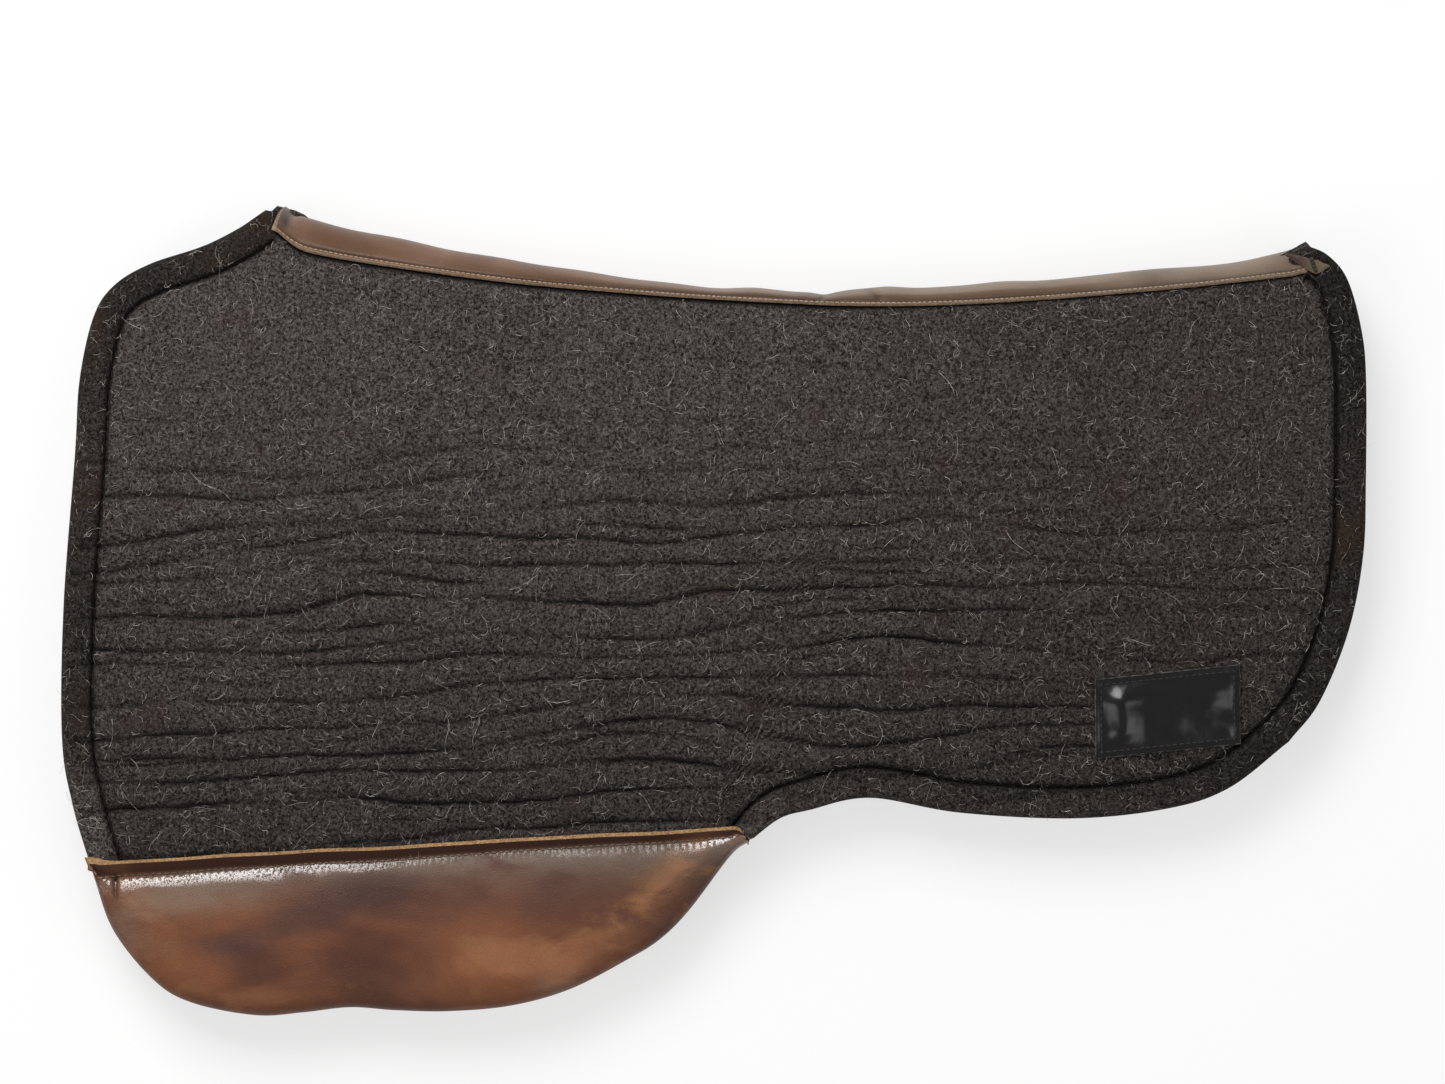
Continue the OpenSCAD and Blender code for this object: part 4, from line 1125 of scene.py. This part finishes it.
def makeSpineLeather():
    look = spineLook
    st = nearLines["stations"]
    order = st["spineOrder"]
    spots = np.linspace(0, len(order) - 1, look["finer"] * (len(order) - 1) + 1)
    known = np.column_stack([st["points"][order], st["inward"][order], st["width"][order]])
    known = np.column_stack([np.interp(spots, np.arange(len(order)), line) for line in known.T])
    feet, way, width = known[:, :2], unit(known[:, 2:4]), known[:, 4]
    steps = np.arccos(look["cosines"])
    angle = np.concatenate([-steps, [0.0], steps[::-1]])[None]
    w = width[:, None]
    inEdge = w * np.cos(angle)
    thick = lerp(look["skived"], look["thick"], smooth(inEdge / 3.0))
    a = w - inEdge
    z = look["top"] * np.sin(angle) * np.ones_like(w)
    aIn = w - (w - look["thick"]) * np.cos(angle)
    zIn = (look["top"] - thick) * np.sin(angle)
    # Drawn in where the strip is pinched in the middle of the dip, with a bulge beside it
    fromPinch = feet[:, :1] - look["pinchX"]
    drawn = look["pinch"] * bell(fromPinch, look["pinchRun"])
    drawn = drawn + look["waver"] * ripple(feet, 60, 33)[:, None]
    for middle, reach, rise in look["swells"]:
        drawn = drawn - rise * bell(fromPinch - middle, reach)
    drawn = drawn * np.cos(angle)
    a, aIn = a + drawn, aIn + drawn
    # The sewn edges stand a little off the felt, and the front end more so
    steep = np.abs(angle)
    frontGap = (runLengths(feet)[-1] - runLengths(feet))[:, None]
    raised = (look["edgeLift"] * smooth((steep - 1.0) / 0.5)
              + look["flare"] * smooth(1 - frontGap / look["flareRun"]) * smooth(steep / 1.2))
    raised = np.where(angle < 0, np.minimum(raised, look["offLift"]), raised)
    # The front end stands up in a peak
    peak = look["peak"] * smooth(1 - frontGap / look["peakRun"]) * np.cos(angle) * smooth(angle / 0.4 + 1)
    peak = peak - look["sink"] * bell(frontGap - look["sinkAt"], look["sinkRun"]) * np.cos(angle)
    a, aIn = a - peak, aIn - peak
    stitchAt = lerp(*look["stitchAt"], np.clip((w - 8) / 12, 0, 1))
    sewn = look["channel"] * bell(inEdge - stitchAt, 0.9)
    sewn = sewn - 0.5 * bell(inEdge - stitchAt - 3.2, 2.2)
    # The near side sinks in just behind the front end
    hollow = bell(frontGap - look["hollowAt"], look["hollowRun"])
    hollow = hollow * smooth(inEdge / 9.0) * smooth(angle / 0.3 + 0.5)
    sewn = sewn + look["hollow"] * hollow
    z = z + np.sign(angle) * (raised - sewn)
    zIn = zIn + np.sign(angle) * (raised - look["hollow"] * hollow)
    for last in (0, -1):
        a[:, last] += look["bevelOut"]
        aIn[:, last] += look["bevelIn"]
    flat = feet[:, None] + a[..., None] * way[:, None]
    flatIn = feet[:, None] + aIn[..., None] * way[:, None]
    ends = unit(feet[0] - feet[1]), unit(feet[-1] - feet[-2])
    # The front end is cut back over the fold
    cutBack = look["cutBack"] * np.cos(angle) * smooth(1 - frontGap / look["cutRun"])
    cutBack = cutBack + look["offCut"] * smooth(-angle / 0.5) * smooth(1 - frontGap / look["offCutRun"])
    flat, flatIn = (line - cutBack[..., None] * ends[1] for line in (flat, flatIn))
    flatIn[0] += look["endBevel"] * ends[0]
    flatIn[-1] += look["endBevel"] * ends[1]
    # Gathered wrinkles run out from the pinch
    off = flat[..., 0] - look["pinchX"]
    upper = smooth((angle * np.ones_like(w)) / 1.2) * smooth(inEdge / 3.0)
    dent = upper * sum(deep * bell(off + beside + slant * a, wide)
                       for deep, beside, slant, wide in look["wrinkles"])
    wave = lumpy(flat.reshape(-1, 2), look["lumps"]).reshape(a.shape) * np.cos(angle) ** 0.5
    # The off side lies on the floor
    z = np.maximum(z + np.sign(z) * (wave - dent), look["clearance"] - midLevel)
    outer = raisedTo(flat, z)
    inner = raisedTo(flatIn, zIn)
    piece = makeShell("spineLeather", outer, inner, 0, [spineLeather, stripEdge])
    groove = bell(inEdge - stitchAt - 1.0, 1.3)
    edge = smooth((stitchAt + 0.2 - inEdge) / 0.8)
    # Painted shade on the lower face, fading in along the strip and out at the rear end
    lowerShadeAlong = lerp(0.4, 1, smooth((feet[:, :1] + 230) / 120))
    lowerShadeAlong = lowerShadeAlong * (1 - 0.75 * smooth((feet[:, :1] - 160) / 60))
    lower = smooth((0.66 * w - inEdge) / (0.2 * w)) * lowerShadeAlong * (1 - edge)
    # Painted shade in the stitch groove, the hollow behind the front end and the pinch wrinkles
    channel = np.maximum.reduce([groove, 1.9 * hollow, 0.6 * dent])
    keepOnShell(piece, {"edge": edge, "lower": lower, "channel": channel})
    rows = []
    sewnAt = stitchAt[:, 0]
    for side in (1, -1):
        turned = np.arccos(sewnAt / width)
        spot = feet + (width - sewnAt)[:, None] * way
        lifted = raised[:, -2 if side > 0 else 1] - look["channel"] + look["stitchOut"]
        level = look["top"] * np.sin(turned) + lifted
        kept = frontGap[:, 0] > (2 if side > 0 else look["offCut"] + 3)
        rows.append(np.column_stack([spot, side * level])[kept])
    return piece, rows


# The strip's rear end: a folded strap that ends in a pointed tab
tabLook = {
    "line": [(300, -6.4), (307, -9.0), (314, -12.2), (319, -13.6), (326.5, -12.8)],
    "half": [1.0, 2.2, 3.4, 4.2, 0.3], "level": [22.0, 25.2, 25.8, 25.6, 24.6], "thick": 1.6,
    "slot": [(315.0, -9.4, 27.0), (317.6, -15.6, 26.8)],
}


def makeTab():
    look = tabLook
    line = spline(look["line"], 6)
    share = np.linspace(0, 1, len(line))
    knots = np.linspace(0, 1, len(look["half"]))
    half, level = np.interp(share, knots, look["half"]), np.interp(share, knots, look["level"])
    along = unit(np.gradient(line, axis=0))
    across = np.column_stack([-along[:, 1], along[:, 0]])
    v = np.linspace(-1, 1, 9)
    flat = line[:, None] + (half[:, None] * v)[..., None] * across[:, None]
    top = level[:, None] + 0.6 * (1 - v ** 2)
    outer = raisedTo(flat, top)
    inner = outer - (0, 0, look["thick"])
    return makeShell("spineTab", outer, inner, 1, [tabLeather, rawEdge])


labelLook = {
    "length": 87.0, "height": 47.0, "thick": 1.2, "tilt": 8.0, "lean": 2.7, "fromRear": 116.5,
    "fromBottom": 67.0, "margin": 3.2, "columns": 56, "lines": 34, "lift": 0.7, "bulge": 1.3,
    "puffed": 3.0, "skirt": 0.6, "sewnDepth": 0.35, "lumps": 0.25, "stitchOut": 0.2,
}


def makeLabel():
    look = labelLook
    middle = np.array([rearX - look["fromRear"], look["fromBottom"] - pad["rearDrop"]])
    tilt, lean = math.radians(look["tilt"]), math.radians(look["lean"])
    turn = np.array([[math.cos(tilt), math.sin(tilt)], [-math.sin(lean), math.cos(lean)]])
    u, v = np.meshgrid(np.linspace(-0.5, 0.5, look["columns"]), np.linspace(-0.5, 0.5, look["lines"]))

    def lay(u, v, lift):
        flat = middle + np.stack([u * look["length"], v * look["height"]], axis=-1) @ turn
        spot = flat.reshape(-1, 2)
        rest = pad["half"] + crownField(spot).reshape(u.shape) + look["lift"]
        inX, inY = (0.5 - np.abs(u)) * look["length"], (0.5 - np.abs(v)) * look["height"]
        inEdge = np.minimum(inX, inY)
        fullness = look["bulge"] + look["puffed"] * smooth((-0.12 - u) / 0.3)
        rise = fullness * smooth((inX - look["margin"]) / 16.0) * smooth((inY - look["margin"]) / 12.0)
        rise = rise - look["sewnDepth"] * bell(inEdge - look["margin"], 1.0)
        rise = rise + look["lumps"] * ripple(spot, 26, 51).reshape(u.shape) * smooth(inEdge / 8.0)
        return raisedTo(flat, rest + rise + lift)

    outer = lay(u, v, look["thick"])
    skirt = 2 * look["skirt"]
    inner = lay(u * (1 + skirt / look["length"]), v * (1 + skirt / look["height"]), 0.0)
    piece = makeShell("labelPatch", outer, inner, 1, [labelVinyl, labelRim])
    du, dv = 0.5 - look["margin"] / look["length"], 0.5 - look["margin"] / look["height"]
    corners = np.array([(-du, -dv), (du, -dv), (du, dv), (-du, dv), (-du, -dv)])
    path = np.vstack([lerp(corners[k], corners[k + 1], np.linspace(0, 1, 30)[:-1, None])
                      for k in range(4)] + [corners[-1:]])
    return piece, lay(path[:, 0], path[:, 1], look["thick"] + look["stitchOut"])


nearWear, nearWearRow = makeWearLeather("nearWearLeather", 1)
offWear, offWearRow = makeWearLeather("offWearLeather", -1)
spineStrip, spineRows = makeSpineLeather()
spineTab = makeTab()
labelPatch, labelRow = makeLabel()
print("leathers and label made")


# Repeated small pieces, through Geometry Nodes
class Nodes:
    def __init__(self, name, inputs):
        self.tree = bpy.data.node_groups.new(name, "GeometryNodeTree")
        face = self.tree.interface
        face.new_socket("Geometry", in_out="INPUT", socket_type="NodeSocketGeometry")
        for key, kind in inputs.items():
            face.new_socket(key, in_out="INPUT", socket_type="NodeSocket" + kind)
        face.new_socket("Geometry", in_out="OUTPUT", socket_type="NodeSocketGeometry")
        self.given = self.tree.nodes.new("NodeGroupInput").outputs
        self.result = self.tree.nodes.new("NodeGroupOutput")

    def add(self, kind, settings=None, sockets=None):
        node = self.tree.nodes.new(kind)
        for key, value in (settings or {}).items():
            setattr(node, key, value)
        for key, value in (sockets or {}).items():
            links = value if isinstance(value, list) else [value]
            for one in links:
                if isinstance(one, bpy.types.NodeSocket):
                    self.tree.links.new(one, node.inputs[key])
                else:
                    node.inputs[key].default_value = one
        return node.outputs

    def finish(self, geometry):
        solid = self.add("GeometryNodeRealizeInstances", None, {"Geometry": geometry})
        painted = self.add("GeometryNodeSetMaterial", None,
                           {"Geometry": solid[0], "Material": self.given["Material"]})
        self.tree.links.new(painted[0], self.result.inputs[0])


def randomBetween(nodes, low, high, seed):
    sockets = {2: low, 3: high, "Seed": seed}
    return nodes.add("FunctionNodeRandomValue", {"data_type": "FLOAT"}, sockets)[1]


def stitchTree():
    inputs = {"Pitch": "Float", "Length": "Float", "Thread": "Float", "Material": "Material"}
    n = Nodes("stitchRow", inputs)
    line = n.add("GeometryNodeMeshToCurve", None, {"Mesh": n.given["Geometry"]})
    dots = n.add("GeometryNodeCurveToPoints", {"mode": "LENGTH"},
                 {"Curve": line[0], "Length": n.given["Pitch"]})
    ball = n.add("GeometryNodeMeshUVSphere", None, {"Segments": 6, "Rings": 5, "Radius": 0.5})
    size = n.add("ShaderNodeCombineXYZ", None,
                 {0: n.given["Thread"], 1: n.given["Thread"], 2: n.given["Length"]})
    turned = n.add("FunctionNodeAlignRotationToVector", {"axis": "Z"}, {"Vector": dots["Tangent"]})
    row = n.add("GeometryNodeInstanceOnPoints", None, {
        "Points": dots["Points"], "Instance": ball["Mesh"], "Rotation": turned[0], "Scale": size[0]})
    n.finish(row[0])
    return n.tree


# Bent strands of unit length, as the middle handles of a curve and its far end
strandBends = [
    ((-0.2, 0.20, 0.10), (0.2, -0.14, 0.12), (0.5, 0.05, 0.02)),
    ((-0.3, 0.28, 0.08), (0.3, 0.26, 0.10), (0.46, -0.03, 0.03)),
    ((-0.1, 0.06, 0.12), (0.2, 0.10, 0.14), (0.5, -0.06, 0.04)),
    ((0.0, 0.46, 0.10), (0.45, 0.30, 0.12), (0.30, -0.08, 0.02)),
]


def strandTree():
    inputs = {
        "Density": "Float", "Seed": "Int", "Shortest": "Float", "Longest": "Float", "Thickness": "Float",
        "Steps": "Int", "Curl": "Float", "Lift": "Float", "Material": "Material",
    }
    n = Nodes("strandScatter", inputs)
    shown = n.add("GeometryNodeInputNamedAttribute", {"data_type": "FLOAT"}, {"Name": "shown"})
    dots = n.add("GeometryNodeDistributePointsOnFaces", None, {
        "Mesh": n.given["Geometry"], "Selection": shown[0], "Density": n.given["Density"],
        "Seed": n.given["Seed"]})
    ring = n.add("GeometryNodeCurvePrimitiveCircle", None,
                 {"Resolution": 3, "Radius": n.given["Thickness"]})
    kinds = []
    for first, second, end in strandBends:
        line = n.add("GeometryNodeCurvePrimitiveBezierSegment", None, {
            "Resolution": n.given["Steps"], "Start": (-0.5, 0, 0), "Start Handle": first,
            "End Handle": second, "End": end})
        tube = n.add("GeometryNodeCurveToMesh", None, {"Curve": line[0], "Profile Curve": ring[0]})
        kinds.append(tube[0])
    chosen = n.add("GeometryNodeGeometryToInstance", None, {"Geometry": kinds})
    which = n.add("FunctionNodeRandomValue", {"data_type": "INT"},
                  {4: 0, 5: len(kinds) - 1, "Seed": 3})[2]
    spin = n.add("FunctionNodeAxisAngleToRotation", None,
                 {"Axis": (0, 0, 1), "Angle": randomBetween(n, 0.0, 2 * math.pi, 4)})
    turned = n.add("FunctionNodeRotateRotation", {"rotation_space": "LOCAL"},
                   {"Rotation": dots["Rotation"], "Rotate By": spin[0]})
    length = randomBetween(n, n.given["Shortest"], n.given["Longest"], 5)
    curl = n.add("ShaderNodeMath", {"operation": "MULTIPLY"},
                 {0: n.given["Curl"], 1: randomBetween(n, 0.3, 1.4, 6)})
    wide = n.add("ShaderNodeMath", {"operation": "MULTIPLY"}, {0: length, 1: curl[0]})
    high = n.add("ShaderNodeMath", {"operation": "MULTIPLY"}, {0: length, 1: n.given["Lift"]})
    size = n.add("ShaderNodeCombineXYZ", None, {0: length, 1: wide[0], 2: high[0]})
    row = n.add("GeometryNodeInstanceOnPoints", None, {
        "Points": dots["Points"], "Instance": chosen[0], "Pick Instance": True,
        "Instance Index": which, "Rotation": turned[0], "Scale": size[0]})
    n.finish(row[0])
    return n.tree


def grown(name, carrier, tree, values, material):
    # Runs a node tree on a carrier and keeps what it makes as a plain mesh
    modifier = carrier.modifiers.new("grow", "NODES")
    modifier.node_group = tree
    for socket in tree.interface.items_tree:
        if socket.in_out == "INPUT" and socket.name in values:
            modifier[socket.identifier] = values[socket.name]
    carrier.update_tag()
    graph = bpy.context.evaluated_depsgraph_get()
    mesh = bpy.data.meshes.new_from_object(carrier.evaluated_get(graph))
    carrier.modifiers.remove(modifier)
    mesh.name = name
    if not mesh.materials:
        mesh.materials.append(material)
    mesh.polygons.foreach_set("use_smooth", np.ones(len(mesh.polygons), bool))
    piece = bpy.data.objects.new(name, mesh)
    scene.collection.objects.link(piece)
    return piece


def stitched(name, rows, side, pitch, length, thread, material):
    # One mesh of stitches along one or more rows of points
    points, steps, start = [], [], 0
    for row in rows:
        points.append(placed(row, side))
        steps += [(start + k, start + k + 1) for k in range(len(row) - 1)]
        start += len(row)
    mesh = bpy.data.meshes.new("rowGuide")
    mesh.from_pydata(np.vstack(points).tolist(), steps, [])
    guide = bpy.data.objects.new("rowGuide", mesh)
    scene.collection.objects.link(guide)
    values = {"Pitch": pitch, "Length": length, "Thread": thread, "Material": material}
    piece = grown(name, guide, stitches, values, material)
    bpy.data.objects.remove(guide)
    return piece


stitches, strandNodes = stitchTree(), strandTree()


# Pitch, length and thickness of each row's stitches, in metres, and their thread
rowLook = {
    "perimeter": (0.0062, 0.005, 0.0010, darkThread), "wear": (0.0042, 0.0033, 0.0014, brownThread),
    "spine": (0.0031, 0.0026, 0.0008, tanThread), "label": (0.0040, 0.0033, 0.0008, darkThread),
    "tab": (0.0022, 0.0030, 0.0028, darkThread), "ridge": (0.0101, 0.0095, 0.0007, darkThread),
}


def grooveRows(lines):
    # The groove is sewn from the front end of the spine to the wear leather, and behind it
    out, clear = 0.3, 3
    st, row = lines["stations"], lines["groove"] + (0, 0, out)
    return [row[clear:st["atFront"] - clear], row[st["atRear"] + clear:st["atSpine"] - clear]]


def ridgeRows():
    # Short threads across the fold, under the spine leather
    st, every, clear, reach = nearLines["stations"], 4, 0.45, 5
    inset = noseInset(st["width"], noseAngles[0]) - clear
    spot = st["points"] + inset[:, None] * st["inward"]
    return [np.column_stack([[p, p], [-reach, reach]]) for p in spot[st["spineOrder"][::every]]]


sewing = {
    name: stitched(name, rows, side, *rowLook[kind])
    for name, kind, rows, side in (
        ("nearPerimeterStitching", "perimeter", grooveRows(nearLines), 1),
        ("offPerimeterStitching", "perimeter", grooveRows(offLines), -1),
        ("nearWearStitching", "wear", [nearWearRow], 1),
        ("offWearStitching", "wear", [offWearRow], -1),
        ("nearSpineStitching", "spine", [spineRows[0]], 0),
        ("offSpineStitching", "spine", [spineRows[1]], 0),
        ("labelStitching", "label", [labelRow], 1),
        ("tabStitching", "tab", [np.array(tabLook["slot"])], 1),
        ("ridgeSeam", "ridge", ridgeRows(), 0),
    )
}
strandLook = {
    "Density": 38000.0, "Seed": 11, "Shortest": 0.002, "Longest": 0.006, "Thickness": 0.019,
    "Steps": 3, "Curl": 0.9, "Lift": 1.1, "Material": strands,
}
hairLook = {**strandLook, "Density": 3600.0, "Seed": 17, "Shortest": 0.007, "Longest": 0.020,
            "Thickness": 0.006, "Steps": 5, "Curl": 0.8, "Lift": 0.5}
fewStrands = {**strandLook, "Density": 9000.0, "Seed": 12, "Lift": 0.2}
nearStrands = grown("nearStrands", nearOuter, strandNodes, strandLook, strands)
nearHairs = grown("nearHairs", nearOuter, strandNodes, hairLook, strands)
liningStrands = grown("nearLiningStrands", nearLining, strandNodes, fewStrands, strands)
offStrands = grown("offLiningStrands", offLining, strandNodes, {**fewStrands, "Seed": 13}, strands)
print("stitches and strands made", len(nearStrands.data.polygons))


# Which CAD node each piece stands for and how it moves
for piece, node, part, side in ((nearOuter, "near_outer_felt", "outer_felt", 1),
                                (offOuter, "off_outer_felt", "outer_felt", -1),
                                (nearLining, "near_lining_felt", "lining_felt", 1),
                                (offLining, "off_lining_felt", "lining_felt", -1)):
    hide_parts(node)
    bendAtSpine(piece, side)
for piece, part, side in ((nearStrands, "outer_felt", 1), (nearHairs, "outer_felt", 1),
                          (liningStrands, "lining_felt", 1), (offStrands, "lining_felt", -1),
                          (spineTab, "spine_leather", 1), (sewing["tabStitching"], "dark_thread", 1)):
    bendAtSpine(piece, side)
for piece, node, part, body in (
        (nearWear, "near_wear_leather", "wear_leather", "near_half"),
        (offWear, "off_wear_leather", "wear_leather", "off_half"),
        (labelPatch, "label_patch", "label", "near_half"),
        (sewing["nearWearStitching"], "near_wear_stitching", "dark_thread", "near_half"),
        (sewing["offWearStitching"], "off_wear_stitching", "dark_thread", "off_half"),
        (sewing["labelStitching"], "label_stitching", "dark_thread", "near_half")):
    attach(piece, body)
    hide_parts(node)
for piece, node, part, side in (
        (spineStrip, "spine_leather", "spine_leather", 0),
        (sewing["nearPerimeterStitching"], "near_perimeter_stitching", "dark_thread", 1),
        (sewing["offPerimeterStitching"], "off_perimeter_stitching", "dark_thread", -1),
        (sewing["nearSpineStitching"], "near_spine_stitching", "tan_thread", 1),
        (sewing["offSpineStitching"], "off_spine_stitching", "tan_thread", -1),
        (sewing["ridgeSeam"], "ridge_seam", "dark_thread", 0)):
    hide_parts(node)
    bendAtSpine(piece, side)
print("pieces placed on their bodies")

# Floor, light and camera
stageLook = {
    "floor": 14.0, "floorColour": (0.95, 0.95, 0.95, 1), "floorGlow": 0.6, "sky": 0.36,
    # Place, size and power of each lamp, and the point that all of them face
    "lamps": (((-0.7, 1.5, 2.0), 1.4, 50.0), ((-1.3, -0.9, 1.9), 1.2, 9.0), ((1.4, -0.6, 1.9), 1.2, 7.0)),
    "cameraAt": (0.0044, 0.0521), "faceLevel": 0.050, "distance": 3.0, "frameWidth": 0.8718,
    "roll": 2.06, "sensor": 36.0, "lampAim": (0, 0, 0.03),
}
half = stageLook["floor"]
floor = makePiece("floor", [(-half, -half, 0), (half, -half, 0), (half, half, 0), (-half, half, 0)],
                  [[0, 1, 2, 3]], [], closed=False)
floorShader = Shader("floorPaper", Roughness=0.95, Specular_IOR_Level=0.0)
floorShader.put(Base_Color=stageLook["floorColour"])
seen = floorShader.add("ShaderNodeLightPath", out="Is Camera Ray")
for ray in ("Is Glossy Ray", "Is Transmission Ray"):
    seen = seen.maths("MAXIMUM", floorShader.add("ShaderNodeLightPath", out=ray))
seen = seen * stageLook["floorGlow"]
glow = floorShader.add("ShaderNodeEmission", None, {"Color": (1, 1, 1, 1), "Strength": 1.0})
matt = Wire(floorShader, floorShader.surface.outputs[0])
sweep = floorShader.add("ShaderNodeMixShader", None, {0: seen, 1: matt, 2: glow})
floorShader.feed(floorShader.tree.nodes["Material Output"].inputs["Surface"], sweep)
floor.data.materials.append(floorShader.material)

world = bpy.data.worlds.new("studio")
world.use_nodes = True
world.node_tree.nodes["Background"].inputs["Color"].default_value = (1, 1, 1, 1)
world.node_tree.nodes["Background"].inputs["Strength"].default_value = stageLook["sky"]
scene.world = world
for at, size, power in stageLook["lamps"]:
    light = bpy.data.lights.new("softbox", "AREA")
    light.shape, light.size, light.energy = "SQUARE", size, power
    lamp = bpy.data.objects.new("softbox", light)
    place = np.array(at)
    aim = unit(place - np.array(stageLook["lampAim"]))
    sideways = unit(np.cross([0.0, 1.0, 0.3], aim))
    lamp.matrix_world = Matrix([[*row, place[k]] for k, row in
                                enumerate(np.column_stack([sideways, np.cross(aim, sideways), aim]))]
                               + [[0, 0, 0, 1]])
    scene.collection.objects.link(lamp)

lens = bpy.data.cameras.new("camera")
lens.sensor_fit, lens.sensor_width = "HORIZONTAL", stageLook["sensor"]
lens.lens = stageLook["sensor"] * stageLook["distance"] / stageLook["frameWidth"]
camera = bpy.data.objects.new("camera", lens)
camera.location = (*stageLook["cameraAt"], stageLook["faceLevel"] + stageLook["distance"])
camera.rotation_euler = (0, 0, math.radians(stageLook["roll"]))
scene.collection.objects.link(camera)
scene.camera = camera
scene.view_settings.view_transform = "Standard"

print("scene done")
